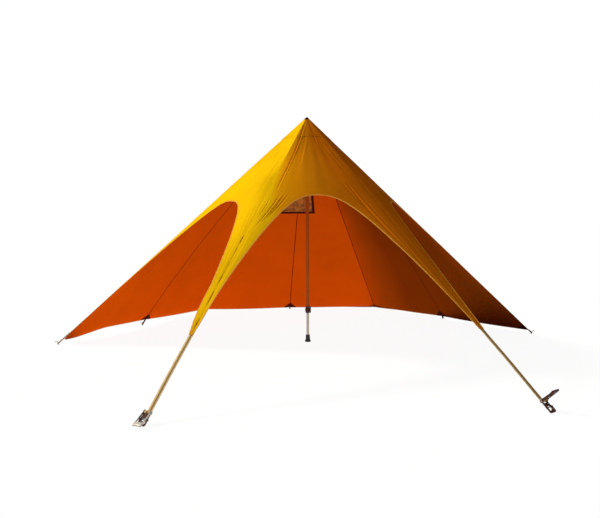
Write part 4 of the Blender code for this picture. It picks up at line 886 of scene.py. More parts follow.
def finish_table():
    """Maker and values of every finish."""
    tint = colours()
    webbing = (trim().webbing_width, trim().webbing_thickness)
    # Painted light and shade across the front: lit yellow at the left leg, darkening through ochre, honey
    # and gold to amber at the right.
    front_light_and_shade_fan = [(0.0, tint.yellow), (0.09, tint.ochre_shade), (0.30, tint.honey_shade), (0.50, tint.gold),
                (0.78, tint.amber), (1.0, tint.amber)]
    # Painted shade inside the right wall: darkest near its corner, lightening towards the lit glow at the
    # rear seam.
    shade_fan = [(0.0, tone(tint.deep_shade, 1.5)), (0.16, tint.deep_shade), (0.66, tone(tint.shade, 0.62)),
                 (0.82, tone(tint.shade, 0.90)), (1.0, tone(tint.glow, 0.84))]
    return {
        "yellow_cloth": (cloth_finish, tint.yellow),
        "gold_cloth": (cloth_finish, tint.gold, 0.86, front_light_and_shade_fan, 0.18),
        "amber_cloth": (cloth_finish, tint.amber),
        "glow_cloth": (cloth_finish, tint.glow, 0.92),
        "shade_cloth": (cloth_finish, tint.shade, 0.9, shade_fan),
        "inner_cloth": (cloth_finish, tint.inner, 0.9),
        "front_seam_cloth": (pucker_shadow_finish, tint.yellow, tint.pucker),
        "binding_tape": (tape_finish, tint.binding),
        "seam_tape": (tape_finish, tint.seam),
        "maroon_webbing": (tape_finish, tint.maroon),
        "hem_tape": (tape_finish, tint.hem),
        "thread": (tape_finish, tint.thread, 120.0),
        "leg_webbing": (strap_finish, tint.strap, tint.strap_middle_shade, *webbing),
        "window_film": (pane_finish, tint.pane),
        "bronze_paint": (metal_finish, tint.bronze, 0.50, 0.0, 0.14, 12.0, (1.0, 1.0, 0.25), 0.12),
        "pale_tube": (metal_finish, tint.pale_metal, 0.42, 0.55, 0.10, 14.0, (1.0, 1.0, 0.2)),
        "zinc_plate": (metal_finish, tint.zinc, 0.46, 0.60, 0.30, 60.0),
        "dark_steel": (metal_finish, tint.dark_steel, 0.50, 0.15, 0.30, 50.0, (1.0, 1.0, 1.0), 0.16),
        "black_plastic": (plastic_finish, tint.plastic, 0.46),
        "foot_rubber": (plastic_finish, tint.rubber, 0.72),
    }


def finish_of(key):
    """The finish with this name, made the first time it is asked for."""
    if key not in finishes:
        maker, *values = finish_table()[key]
        finishes[key] = maker(key, *values)
    return finishes[key]


def settle(piece_made, slot_name, *nodes, body="tent", ground=0.0, keep=None):
    """Ride on a body, give a piece of the tent its own mesh unless keep is False, and hide the CAD nodes;
    the slot name is not used.
    """
    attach(piece_made, body)
    if body == "tent" and keep is not False:
        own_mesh(piece_made)
    if nodes:
        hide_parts(*nodes)
    return piece_made


def pole_keep():
    """Share of the canopy's height that is left when the pole is all the way down."""
    travel = [joint for joint in frame["joints"] if joint["name"] == "pole_slide"][0]["range_m"]
    return 1.0 + min(travel) / canopy().peak_height


# Cloth

BINDING_THICKNESS = 0.0008  # of the tape folded round a doorway's edge
HEM_THICKNESS = 0.0009  # of the tape folded round a hem
SEAM_TAPE_THICKNESS = 0.0007
PATCH_LIFTS = (0.0002, 0.0016)  # how far both skins of a patch lie under the cloth
PANE_LIFTS = (0.0002, 0.0008)  # how far both skins of the window film lie under the cloth
CROWN_LIFT = 0.0021  # of the crown over the panels
SEAM_LAP = 0.004  # distance down the canopy that a seam runs under the crown, or starts below the window
EDGE_PIECES, HEM_PIECES, SEAM_PIECES = 260, 180, 90  # along a doorway's edge, a hem and a seam
BESIDE = 1e-6  # metres off a seam, to read the surface on one side of it
CROWN_TIP = (0.0012, 0.004, 0.008)  # distances down the canopy of the rows in the crown's dark tip

# Finishes outside and inside, by side; gold, amber, glow and shade paint light and shade onto one cloth.
SKINS = (("gold_cloth", "inner_cloth"), ("amber_cloth", "inner_cloth"), ("amber_cloth", "shade_cloth"),
         ("yellow_cloth", "glow_cloth"), ("yellow_cloth", "glow_cloth"), ("yellow_cloth", "inner_cloth"))


def cloth_area(side, across, along, skip=None):
    """Flat area of a sheet before its folds: the area of the smooth surface."""
    spots = smooth_point(side, across, along)
    down = spots[:, 1:] - spots[:, :-1]
    over = spots[1:, :] - spots[:-1, :]
    cells = np.linalg.norm(np.cross(down[:-1], over[:, :-1]), axis=-1)
    return float(cells[~skip].sum() if skip is not None else cells.sum())


def canopy_cloth(name, side, across, along, skip=None):
    """Cloth of a side, with one finish outside and another inside."""
    skin = canopy().skin / 2
    return cloth_piece(name, side, across, along, (skin, -skin), SKINS[side], skip)


def open_grid(side, columns=150, rows=84, top_rows=5):
    """Columns that fan from the crown out to the doorway's edge."""
    edge_across, edge_along = arch_line(side, columns)
    edge_across, edge_along = inset(side, edge_across, edge_along, trim().arch_tape * 0.35)
    edge_across = np.concatenate([[-1.0], edge_across, [1.0]])
    edge_along = np.concatenate([[edge_along[0]], edge_along, [edge_along[-1]]])
    top = np.linspace(-1.0, 1.0, len(edge_across))
    panel_top = drop_along(canopy().panel_top)
    across, along = [], []
    for row in range(top_rows):
        across.append(top)
        along.append(np.full(len(top), panel_top + (crown_reach() - panel_top) * row / top_rows))
    for part in np.linspace(0.0, 1.0, rows):
        across.append(top + (edge_across - top) * part)
        along.append(crown_reach() + (edge_along - crown_reach()) * part)
    return np.array(across).T, np.array(along).T


def make_open_side(side):
    """Cloth from the crown down to a doorway's edge."""
    name = OPEN_SIDES[side]
    across, along = open_grid(side)
    made = canopy_cloth(f"{name}_arch_cloth", side, across, along)
    settle(made, "canopy_fabric", f"{name}_arch_panel")
    area = cloth_area(side, across, along)
    spots = smooth_point(side, across, along)


def folded_tape(half, core):
    """Cross-section of a tape folded round an edge: (distance from the edge, lift) pairs.

    half is its outer face on one side of the cloth, and core its inner face.
    """
    return half + [(distance, -lift) for distance, lift in reversed(half)] + core


def make_arch_tape(side):
    """Binding folded round a doorway's edge, lying on both skins."""
    name = OPEN_SIDES[side]
    width = trim().arch_tape
    skin = canopy().skin / 2
    top = skin + BINDING_THICKNESS
    profile = folded_tape(
        [(width, skin), (width - 0.0004, top), (0.0016, top), (0.0004, top * 0.8), (0.0, 0.0004)],
        [(0.0028, -skin * 0.9), (0.0022, 0.0), (0.0028, skin * 0.9)])
    across, along = arch_line(side, EDGE_PIECES)
    rings = []
    for distance, lift in profile:
        line = inset(side, across, along, max(distance, 1e-5))
        rings.append(cloth_point(side, *line, lift))
    made = swept_piece(f"{name}_arch_binding", np.stack(rings, 1), "binding_tape")
    settle(made, "edge_tape", f"{name}_arch_tape")


def wall_columns(side, half):
    """Across values of half a wall, with one at the window's edge or closer ones at the corner."""
    if WALL_SIDES[side] == "back":
        edge = vent_across()
        values = np.concatenate([np.linspace(0.0, edge, 13)[:-1], np.linspace(edge, 1.0, 52)])
    else:
        values = np.concatenate([np.linspace(0.0, 0.96, 76), np.linspace(0.96, 1.0, 12)[1:]])
    return half * values if half > 0 else (-values)[::-1]


def vent_across():
    """The across value of the window's edge."""
    middle = along_at(3, 0.0, (canopy().vent_low + canopy().vent_high) / 2)
    return float(canopy().vent_width / 2 / half_width(3, middle))


def vent_alongs():
    """Distances down the canopy of the window's upper and lower edge."""
    return float(along_at(3, 0.0, canopy().vent_high)), float(along_at(3, 0.0, canopy().vent_low))


def make_gore(side, half):
    """One of a wall's two gores, from the crown to the hem, with its half of the window's hole."""
    order = "first" if half < 0 else "second"
    name = f"{WALL_SIDES[side]}_wall_{order}"
    line = wall_columns(side, half)
    panel_top = drop_along(canopy().panel_top)
    has_vent = WALL_SIDES[side] == "back"
    above, beside = 30, 12  # rows above the window and beside it, where the wall has one
    if has_vent:
        high, low = vent_alongs()
        marks = np.concatenate([np.linspace(panel_top, high, above)[:-1], np.linspace(high, low, beside)])
        lower = np.linspace(0.0, 1.0, 46)[1:]
    else:
        marks = np.linspace(panel_top, crown_reach(), 6)
        lower = np.linspace(0.0, 1.0, 128)[1:]
    hem = hem_along(side, line)
    along = np.concatenate([np.broadcast_to(marks, (len(line), len(marks))),
                            marks[-1] + (hem[:, None] - marks[-1]) * lower], axis=1)
    across = np.broadcast_to(line[:, None], along.shape).copy()
    skip = None
    if has_vent:
        skip = np.zeros((len(line) - 1, along.shape[1] - 1), bool)
        inside = np.abs((line[1:] + line[:-1]) / 2) < vent_across()
        skip[np.ix_(inside, np.arange(above - 1, above + beside - 2))] = True
    made = canopy_cloth(f"{name}_cloth", side, across, along, skip)
    settle(made, "canopy_fabric", f"{name}_gore")
    spots = smooth_point(side, across, along)
    cloth_area(side, across, along, skip)


def seam_sides(corner):
    """The sides on both sides of a corner's seam, with the across value that the seam has on each."""
    return ((corner - 1) % 6, 1.0), (corner, -1.0)


def seam_line(pair, alongs, shift, lift):
    """Points beside a seam: shift metres towards its second side, or its first if negative."""
    side, value = pair[1] if shift > 0 else pair[0]
    inwards = 1.0 if shift > 0 else -1.0
    across = value + inwards * abs(shift) / half_width(side, alongs)
    return cloth_point(side, across, alongs, lift)


def band(name, pair, alongs, width, lifts, finish):
    """Flat strip over a seam, closed all round and creased on the seam."""
    def crease(lift):
        return (seam_line(pair, alongs, -BESIDE, lift) + seam_line(pair, alongs, BESIDE, lift)) / 2

    low, high = lifts
    first, second = -width / 2, width / 2
    rings = [seam_line(pair, alongs, first, low), seam_line(pair, alongs, first, high), crease(high),
             seam_line(pair, alongs, second, high), seam_line(pair, alongs, second, low), crease(low)]
    return swept_piece(name, np.stack(rings, 1), finish, sharp=30)


def seam_runs():
    """Every seam of the canopy: name, sides, and distances down from its top to its end."""
    crown = drop_along(canopy().crown_drop) - SEAM_LAP
    runs = []
    for corner, corner_name in enumerate(CORNERS):
        pair = seam_sides(corner)
        if corner < 2:
            end = 1.0 - canopy().leg_tip / canopy().peak_height
        else:
            side = corner if corner in WALL_SIDES else corner - 1
            end = float(hem_along(side, -1.0 if corner in WALL_SIDES else 1.0))
        runs.append((corner_name, pair, np.linspace(crown, end, SEAM_PIECES)))
    for side, side_name in WALL_SIDES.items():
        pair = ((side, 0.0), (side, 0.0))
        top = vent_alongs()[1] + SEAM_LAP if side_name == "back" else crown
        end = float(hem_along(side, 0.0))
        runs.append((f"{side_name}_middle", pair, np.linspace(top, end, SEAM_PIECES)))
    return runs


def make_seams():
    """Felled seams outside, and dark seam tape inside."""
    sizes = trim()
    skin = canopy().skin / 2
    for name, pair, alongs in seam_runs():
        # The seams on the right take the amber of painted shade.
        outside = "amber_cloth" if "right" in name else "yellow_cloth"
        # The front left seam gets painted shadow in its puckers.
        if name == "front_left":
            outside = "front_seam_cloth"
        outer = band(f"{name}_seam", pair, alongs, sizes.seam_width,
                     (skin * 0.5, skin + sizes.seam_rise), outside)
        settle(outer, "canopy_fabric")
        inner = band(f"{name}_seam_tape", pair, alongs, sizes.inner_seam,
                     (-skin * 0.5, -skin - SEAM_TAPE_THICKNESS), "seam_tape")
        settle(inner, "maroon_webbing")


def above_hem(side, distance, lift):
    """Line along a wall at a distance above its hem."""
    across = np.linspace(-1.0, 1.0, HEM_PIECES)
    return cloth_point(side, across, hem_along(side, across) - distance / slope_length(), lift)


def make_hem(side):
    """Tape folded round the hem of a wall."""
    width = trim().hem_tape
    skin = canopy().skin / 2
    top = skin + HEM_THICKNESS
    profile = folded_tape([(width, skin), (width - 0.0005, top), (0.0012, top), (0.0, 0.0005)],
                          [(0.0030, -skin * 0.9), (0.0024, 0.0), (0.0030, skin * 0.9)])
    rings = [above_hem(side, distance, lift) for distance, lift in profile]
    made = swept_piece(f"{WALL_SIDES[side]}_hem_tape", np.stack(rings, 1), "hem_tape")
    settle(made, "edge_tape")


def sew_patch(name, side, across, along, size, *nodes):
    """Reinforcement inside a wall, on its first gore."""
    skin = canopy().skin / 2
    lifts = [-skin - lift for lift in PATCH_LIFTS]
    made = cloth_piece(name, side, across, along, lifts, ("maroon_webbing", "maroon_webbing"))
    settle(made, "maroon_webbing", *nodes)
    cloth_area(side, across, along)


def make_patch(side):
    """Triangular reinforcement over the peg in the middle of a wall's hem."""
    sizes = canopy()
    name = WALL_SIDES[side]
    half = float(sizes.patch_width / 2 / half_width(side, float(hem_along(side, 0.0))))
    base = 0.006 / slope_length()
    top = (0.016 + sizes.patch_height) / slope_length()
    spread = np.linspace(-1.0, 1.0, 21)
    rise = np.linspace(0.0, 1.0, 15)
    across = half * spread[:, None] * (1.0 - rise * 0.88)[None, :]
    along = hem_along(side, across) - base - (top - base) * rise[None, :]
    sew_patch(f"{name}_patch", side, across, along, (sizes.patch_width, sizes.patch_height),
              f"{name}_hem_patch")


def make_corner_patch():
    """Dark reinforcement in the right corner, where the photographed tip is dark."""
    side = 2
    reach, rise = 0.15, 0.11
    hem = float(hem_along(side, -1.0))
    part = np.linspace(0.0, 1.0, 15)
    across = -1.0 + part[:, None] * reach / float(half_width(side, hem)) + np.zeros((1, 11))
    up = np.linspace(0.0, 1.0, 11)[None, :] * rise / slope_length() * (1.0 - 0.9 * part[:, None])
    along = hem_along(side, across) - 0.004 / slope_length() - up
    sew_patch("right_corner_patch", side, across, along, (reach, rise))


def square_path(pieces):
    """Points round a square from -1 to 1, with this many on each side."""
    corners = ((-1, -1), (1, -1), (1, 1), (-1, 1))
    path = []
    for start, end in zip(corners, corners[1:] + corners[:1]):
        for part in np.linspace(0.0, 1.0, pieces, endpoint=False):
            path.append((start[0] + (end[0] - start[0]) * part, start[1] + (end[1] - start[1]) * part))
    return np.array(path)


def vent_band(name, outermost, innermost, lifts, finish):
    """Band round the window, between two distances from the edge of its hole."""
    high, low = vent_alongs()
    middle = (high + low) / 2
    wide = float(half_width(3, middle))
    path = square_path(24)
    rings = []
    for distance, lift in ((outermost, lifts[0]), (innermost, lifts[0]), (innermost, lifts[1]),
                           (outermost, lifts[1])):
        across = path[:, 0] * (vent_across() + distance / wide)
        along = middle + path[:, 1] * ((low - high) / 2 + distance / slope_length())
        rings.append(cloth_point(3, across, along, lift))
    return swept_piece(name, np.stack(rings, 1), finish, looped=True, sharp=30)


def make_vent():
    """Window film in the back wall, its binding inside and a turned edge outside."""
    side, overlap = 3, 0.006
    high, low = vent_alongs()
    spread = vent_across() + overlap / float(half_width(side, (high + low) / 2))
    drop = overlap / slope_length()
    across, along = np.meshgrid(np.linspace(-spread, spread, 41), np.linspace(high - drop, low + drop, 29),
                                indexing="ij")
    skin = canopy().skin / 2
    lifts = [-skin - lift for lift in PANE_LIFTS]
    pane = cloth_piece("vent_pane", side, across, along, lifts, ("window_film", "window_film"))
    settle(pane, "vent_pane", "vent_window")
    width = trim().vent_tape
    tape = vent_band("vent_tape", width, -width * 0.55, (-skin - 0.0009, -skin - 0.0024), "maroon_webbing")
    settle(tape, "maroon_webbing", "vent_binding")
    edging = vent_band("vent_edging", 0.010, -0.006, (skin + 0.0011, skin * 0.5), "yellow_cloth")
    settle(edging, "canopy_fabric")


def make_crown():
    """Outer reinforcement of the peak, over the tops of all panels, with a dark tip."""
    sizes = canopy()
    bottom = drop_along(sizes.crown_drop)
    alongs = np.concatenate([CROWN_TIP, np.linspace(0.013, bottom, 34)])
    columns, rows = 25, len(alongs)
    skin_size = columns * rows
    order = ["gold_cloth", "amber_cloth", "yellow_cloth", "inner_cloth", "maroon_webbing"]
    points, faces, slots, loops = [], [], [], []

    def add_face(face, key, places):
        faces.append(tuple(face))
        slots.append(order.index(key))
        loops.append(places)

    for side in range(6):
        across, along = np.meshgrid(np.linspace(-1.0, 1.0, columns), alongs, indexing="ij")
        along = along - crown_dip(across) * ease((along - 0.05) / 0.05)
        for lift in (CROWN_LIFT + sizes.skin, CROWN_LIFT):
            points.append(cloth_point(side, across, along, lift).reshape(-1, 3))
        spread = np.stack([across * half_width(side, along), along * slope_length()], -1).reshape(-1, 2)
        outer = 2 * side * skin_size
        inner = outer + skin_size
        for quad in grid_quads(columns, rows):
            back = quad[::-1]
            # Each side's crown takes its side's outside colour, painted light and shade included.
            outside = "maroon_webbing" if quad[0] % rows < len(CROWN_TIP) else SKINS[side][0]
            add_face([index + outer for index in quad], outside, spread[list(quad)])
            add_face([index + inner for index in back], "inner_cloth", spread[list(back)])
        for column in range(columns - 1):
            low, high = column * rows + rows - 1, (column + 1) * rows + rows - 1
            add_face((outer + high, outer + low, inner + low, inner + high), SKINS[side][0],
                     spread[[high, low, low, high]])
    for level, turn in ((0, 1), (1, -1)):
        ring = [2 * side * skin_size + level * skin_size + column * rows
                for side in range(6) for column in range(columns - 1)]
        add_face(ring[::turn], "maroon_webbing", np.zeros((len(ring), 2)))
    made = piece("peak_crown_cloth", np.concatenate(points), faces, order, slots, np.concatenate(loops),
                 sharp=60)
    merge(made)
    settle(made, "canopy_fabric", "peak_crown")
    across, along = np.meshgrid(np.linspace(-1.0, 1.0, 25), np.linspace(0.001, bottom, 25), indexing="ij")
    sum(cloth_area(side, across, along) for side in range(6))


def crown_dip(across):
    """The crown's lower edge is cut round, so it rises a little between two seams."""
    return 0.006 * (1.0 - across ** 2)


def merge(made):
    """Join the doubles where the parts of a mesh meet."""
    work = bmesh.new()
    work.from_mesh(made.data)
    bmesh.ops.remove_doubles(work, verts=work.verts, dist=SAME_POINT)
    work.to_mesh(made.data)
    work.free()


# Stitches

STITCH_SOCKETS = (("Geometry", "INPUT", "Geometry"), ("Pitch", "INPUT", "Float"),
                  ("Length", "INPUT", "Float"), ("Radius", "INPUT", "Float"),
                  ("Thread", "INPUT", "Material"), ("Geometry", "OUTPUT", "Geometry"))
STITCH_NODES = {
    "start": "NodeGroupInput", "end": "NodeGroupOutput", "curve": "GeometryNodeMeshToCurve",
    "steps": "GeometryNodeResampleCurve", "tangent": "GeometryNodeInputTangent",
    "align": "FunctionNodeAlignRotationToVector", "ball": "GeometryNodeMeshIcoSphere",
    "half": "ShaderNodeMath", "size": "ShaderNodeCombineXYZ", "place": "GeometryNodeInstanceOnPoints",
    "realize": "GeometryNodeRealizeInstances", "paint": "GeometryNodeSetMaterial",
}
STITCH_LINKS = (
    ("start", "Geometry", "curve", "Mesh"), ("curve", "Curve", "steps", "Curve"),
    ("start", "Pitch", "steps", "Length"), ("steps", "Curve", "place", "Points"),
    ("tangent", "Tangent", "align", "Vector"), ("align", "Rotation", "place", "Rotation"),
    ("ball", "Mesh", "place", "Instance"), ("start", "Length", "half", 0), ("half", 0, "size", "X"),
    ("start", "Radius", "size", "Y"), ("start", "Radius", "size", "Z"), ("size", "Vector", "place", "Scale"),
    ("place", "Instances", "realize", "Geometry"), ("realize", "Geometry", "paint", "Geometry"),
    ("start", "Thread", "paint", "Material"), ("paint", "Geometry", "end", "Geometry"),
)


def stitch_tree():
    """Geometry Nodes that lay a stitch at even steps along every line of a wire mesh."""
    tree = bpy.data.node_groups.new("Stitches", "GeometryNodeTree")
    for name, way, kind in STITCH_SOCKETS:
        tree.interface.new_socket(name, in_out=way, socket_type=f"NodeSocket{kind}")
    nodes = {name: tree.nodes.new(kind) for name, kind in STITCH_NODES.items()}
    nodes["steps"].mode = "LENGTH"
    nodes["align"].axis = "X"
    nodes["ball"].inputs["Radius"].default_value = 1.0
    nodes["ball"].inputs["Subdivisions"].default_value = 1
    nodes["half"].operation = "MULTIPLY"
    nodes["half"].inputs[1].default_value = 0.5
    for giver, output, taker, socket in STITCH_LINKS:
        tree.links.new(nodes[giver].outputs[output], nodes[taker].inputs[socket])
    return tree


def make_stitches(name, lines):
    """Rows of stitches along lines of points, as one plain mesh."""
    points, edges = [], []
    for line in lines:
        first = len(points)
        points.extend(tuple(point) for point in line)
        edges.extend((first + index, first + index + 1) for index in range(len(line) - 1))
    wire = bpy.data.meshes.new(f"{name}_line")
    wire.from_pydata(points, edges, [])
    guide = add_object(f"{name}_line", wire)
    tree = bpy.data.node_groups.get("Stitches") or stitch_tree()
    modifier = guide.modifiers.new("Stitches", "NODES")
    modifier.node_group = tree
    values = {"Pitch": trim().stitch_pitch, "Length": trim().stitch_length,
              "Radius": trim().stitch_radius, "Thread": finish_of("thread")}
    for item in tree.interface.items_tree:
        if item.in_out == "INPUT" and item.name in values:
            modifier[item.identifier] = values[item.name]
    bpy.context.view_layer.update()
    evaluated = guide.evaluated_get(bpy.context.evaluated_depsgraph_get())
    mesh = bpy.data.meshes.new_from_object(evaluated)
    mesh.name = name
    mesh.shade_smooth()
    guide.modifiers.clear()
    bpy.data.objects.remove(guide)
    return add_object(name, mesh)


def arch_stitch_lines(side):
    """Rows on both faces of a doorway's binding and on the cloth beside it."""
    skin = canopy().skin / 2
    top = skin + BINDING_THICKNESS
    across, along = arch_line(side, EDGE_PIECES)
    lines = []
    for distance, lift in ((0.0100, top), (0.0040, top), (0.0100, -top), (0.0270, skin), (0.0330, skin)):
        lines.append(cloth_point(side, *inset(side, across, along, distance), lift))
    if side == 0:
        middle = np.linspace(-0.23, -0.04, 20)
        for distance in (0.040, 0.058):
            row = arch_along(side, middle) - distance / slope_length()
            lines.append(cloth_point(side, middle, row, skin))
    return lines


def seam_stitch_lines():
    """Two rows on every seam."""
    rise = canopy().skin / 2 + trim().seam_rise
    offset = trim().seam_width / 2 - 0.002
    return [seam_line(pair, alongs, shift, rise) for _, pair, alongs in seam_runs()
            for shift in (-offset, offset)]


def hem_stitch_lines(side):
    """Rows on both faces of a hem's tape and on the cloth above it."""
    skin = canopy().skin / 2
    top = skin + HEM_THICKNESS
    return [above_hem(side, distance, lift)
            for distance, lift in ((0.012, top), (0.012, -top), (0.030, skin))]


def crown_stitch_lines():
    """A row above the crown's lower edge."""
    across = np.linspace(-1.0, 1.0, 30)
    along = drop_along(canopy().crown_drop) - 0.005 - crown_dip(across)
    return [cloth_point(side, across, along, CROWN_LIFT + canopy().skin) for side in range(6)]


# Webbing and ratchets at the front corners

STRAP_LIFT = 0.002  # of a strap's underside over the line of its seam, besides the gap
SEWN_GAP = 0.0012  # between the cloth of a leg and the strap under it
DIVE_START = 0.40  # distance below the end of a leg's cloth at which its strap starts to dip
DIVE_LENGTH = 0.39


def away_from_pole(corner):
    """Level direction from the pole to a corner."""
    turn = radians(seam_ray(corner)[0])
    return Vector((sin(turn), -cos(turn), 0.0))


def front_frame(corner):
    """Matrix at a ratchet's spool: +X up the strap, +Y across it, +Z away from the ground."""
    reach = seam_ray(corner)[1]
    away = away_from_pole(corner)
    up_strap = (Vector((0.0, 0.0, canopy().peak_height)) - away * reach).normalized()
    across = up_strap.cross(away).normalized()
    lift = up_strap.cross(across).normalized()
    if lift.z < 0:
        across, lift = -across, -lift
    sizes = hardware()
    half_thick = trim().webbing_thickness / 2
    strap_lift = STRAP_LIFT + GAP + half_thick
    ground = away * reach + lift * (strap_lift + sizes.roll_radius + half_thick + GAP)
    from_ground = sizes.anchor_height / up_strap.z + sizes.shackle_length + sizes.base_length
    return placed_axes(up_strap, across, lift, ground + up_strap * from_ground)


def webbing_profile(width, thickness):
    """Cross-section of webbing with rounded selvedges: (across, height) pairs."""
    half, thin = width / 2, thickness / 2
    return [(-half, 0.0), (-half + 0.0006, -thin * 0.9), (-half + 0.003, -thin), (half - 0.003, -thin),
            (half - 0.0006, -thin * 0.9), (half, 0.0), (half - 0.0006, thin * 0.9), (half - 0.003, thin),
            (-half + 0.003, thin), (-half + 0.0006, thin * 0.9)]


def make_leg_strap(side_name, corner):
    """Webbing from the spool up to the leg, where it dips under the cloth and is sewn to it."""
    sizes = hardware()
    place = front_frame(corner)
    slant = hypot(seam_ray(corner)[1], canopy().peak_height)
    spool = sizes.anchor_height / (canopy().peak_height / slant) + sizes.shackle_length + sizes.base_length
    tip = slant * canopy().leg_tip / canopy().peak_height - spool
    end = tip + trim().strap_overlap
    thick = trim().webbing_thickness
    middle = -sizes.roll_radius - GAP - thick / 2
    seam_height = middle - (STRAP_LIFT + GAP) - thick / 2
    under = seam_height - canopy().skin / 2 - SEWN_GAP - thick / 2
    rings = []
    for x in np.linspace(0.0, end, 120):
        wave = 0.00035 * sin(x * 55.0) * sin(pi * x / end)
        dive = float(ease((x - (tip - DIVE_START)) / DIVE_LENGTH)) * (under - middle)
        rings.append([place @ Vector((x, y, middle + z + wave + dive))
                      for y, z in webbing_profile(trim().webbing_width, thick * 0.9)])
    made = swept_piece(f"{side_name}_leg_webbing", rings, "leg_webbing")
    bottom = (place @ Vector((0.0, 0.0, middle))).z
    top = canopy().leg_tip
    keep = (top * pole_keep() - bottom) / (top - bottom)
    settle(made, "leg_webbing", f"{side_name}_leg_strap", ground=bottom, keep=keep)
    sewn = make_stitches(f"{side_name}_strap_stitches",
                         strap_stitch_lines(corner, spool, slant, tip + 0.02, end - 0.015))
    settle(sewn, "edge_tape", ground=bottom, keep=keep)


def strap_stitch_lines(corner, spool, slant, low, high):
    """A box and its diagonals on the leg's cloth, between two distances from the spool."""
    half = trim().webbing_width / 2 - 0.004
    lines = []
    for x0, y0, x1, y1 in ((low, -half, high, -half), (low, half, high, half), (low, -half, low, half),
                           (high, -half, high, half), (low, -half, high, half), (low, half, high, -half)):
        line = []
        for part in np.linspace(0.0, 1.0, 12):
            along = 1.0 - (spool + x0 + (x1 - x0) * part) / slant
            shift = y0 + (y1 - y0) * part
            line.append(seam_line(seam_sides(corner), np.array([along]), shift, canopy().skin / 2)[0])
        lines.append(line)
    return lines


def make_wound_webbing(side_name, corner):
    """The strap's end, wound in a spiral on the spool."""
    place = front_frame(corner)
    inner = hardware().shaft_radius + 0.0014
    outer = hardware().roll_radius - 0.0011
    width, thickness = trim().webbing_width - 0.0004, 0.0020
    turns, steps = 3.0, 132
    rings = []
    for step in range(steps + 1):
        part = step / steps
        turn = 2 * pi * turns * part - pi / 2
        radius = inner + (outer - inner) * part
        rings.append([place @ Vector(((radius + z) * cos(turn), y, (radius + z) * sin(turn)))
                      for y, z in webbing_profile(width, thickness)])
    made = swept_piece(f"{side_name}_webbing_roll", rings, "leg_webbing")
    settle(made, "leg_webbing", f"{side_name}_wound_webbing", body=f"{side_name}_spool")


def finish_node(node, finish, bevel=0.0004):
    """Give a CAD node its finish, and take the sharpness off its edges."""
    made = frame["nodes"][node]
    made.data.materials.clear()
    made.data.materials.append(finish_of(finish))
    weld = made.modifiers.new("Weld", "WELD")
    weld.merge_threshold = SAME_POINT
    edge = made.modifiers.new("Bevel", "BEVEL")
    edge.width = bevel
    edge.segments = 2
    edge.limit_method = "ANGLE"
    edge.angle_limit = radians(38)


def make_ratchet(side_name):
    """Finishes of the CAD pieces of a ratchet and its shackle."""
    # Painted light and shade: the left handle is pale zinc where the sun falls, the right one dark steel.
    handle_by_light = "zinc_plate" if side_name == "left" else "dark_steel"
    for node, finish in (("ratchet_base", "dark_steel"), ("shackle", "dark_steel"),
                         ("spool_shaft", "zinc_plate"), ("ratchet_handle", handle_by_light),
                         ("handle_pawl", "dark_steel"), ("base_pawl", "dark_steel")):
        finish_node(f"{side_name}_{node}", finish)


def make_stake(side_name, corner):
    """Round stake through a shackle, leaning away from the tent."""
    sizes = hardware()
    away = away_from_pole(corner)
    anchor = front_frame(corner) @ Vector((-sizes.base_length - sizes.shackle_length, 0.0, 0.0))
    lean = sizes.stake_lean
    axis = (away * sin(lean) + Vector((0.0, 0.0, cos(lean)))).normalized()
    head = sizes.stake_rise
    tip = -(anchor.z + sizes.driven_depth) / cos(lean)
    across = axis.cross(away).normalized()
    rod, cap = sizes.stake_radius, sizes.stake_head
    made = turned_piece(f"{side_name}_stake_steel", [
        (0.0, tip), (rod * 0.3, tip + 0.004), (rod, tip + 0.030), (rod, head - 0.0045),
        (cap - 0.0012, head - 0.002), (cap, head - 0.0008), (cap, head + 0.001),
        (cap - 0.0014, head + 0.0028), (cap * 0.62, head + 0.0046), (cap * 0.3, head + 0.005),
        (0.0, head + 0.005)],
        "dark_steel", 40, placed_axes(across.cross(axis) * -1.0, across, axis, anchor))
    settle(made, "dark_steel", f"{side_name}_stake", keep=False)


# Pegs and loops along the hem

def peg_sites():
    """Name, hem point, level direction away from the pole and direction down the wall."""
    wanted = []
    for side, side_name in WALL_SIDES.items():
        wanted.append((CORNERS[side] + "_corner", side, -1.0))
        wanted.append((side_name + "_hem", side, 0.0))
    wanted.append(("left_corner", 4, 1.0))
    sites = []
    for name, side, across in wanted:
        along = float(hem_along(side, across, slack=False))
        hem = Vector(smooth_point(side, across, along))
        away = Vector((hem.x, hem.y, 0.0)).normalized()
        run = Vector(fall(side, across, along))
        down = (away * run.dot(away) + Vector((0.0, 0.0, run.z))).normalized()
        sites.append((name, hem, away, down))
    return sites


def loop_path(long, spacing=0.004, sunk=0.004):
    """Middle line of a peg loop: a half circle round the peg, and two legs up over the hem's edge."""
    radius = (trim().loop_width - trim().loop_band) / 2
    centre = long - radius - trim().loop_band / 2
    far = [(centre + radius * cos(turn), radius * sin(turn)) for turn in np.linspace(-pi / 2, pi / 2, 15)]
    path = np.array(far + [(-sunk, 0.45 * radius), (-sunk, -0.45 * radius)])
    dense = []
    for first, second in zip(path, np.roll(path, -1, axis=0)):
        pieces = max(1, int(np.linalg.norm(second - first) / spacing))
        dense.extend(first + (second - first) * part / pieces for part in range(pieces))
    return np.array(dense)


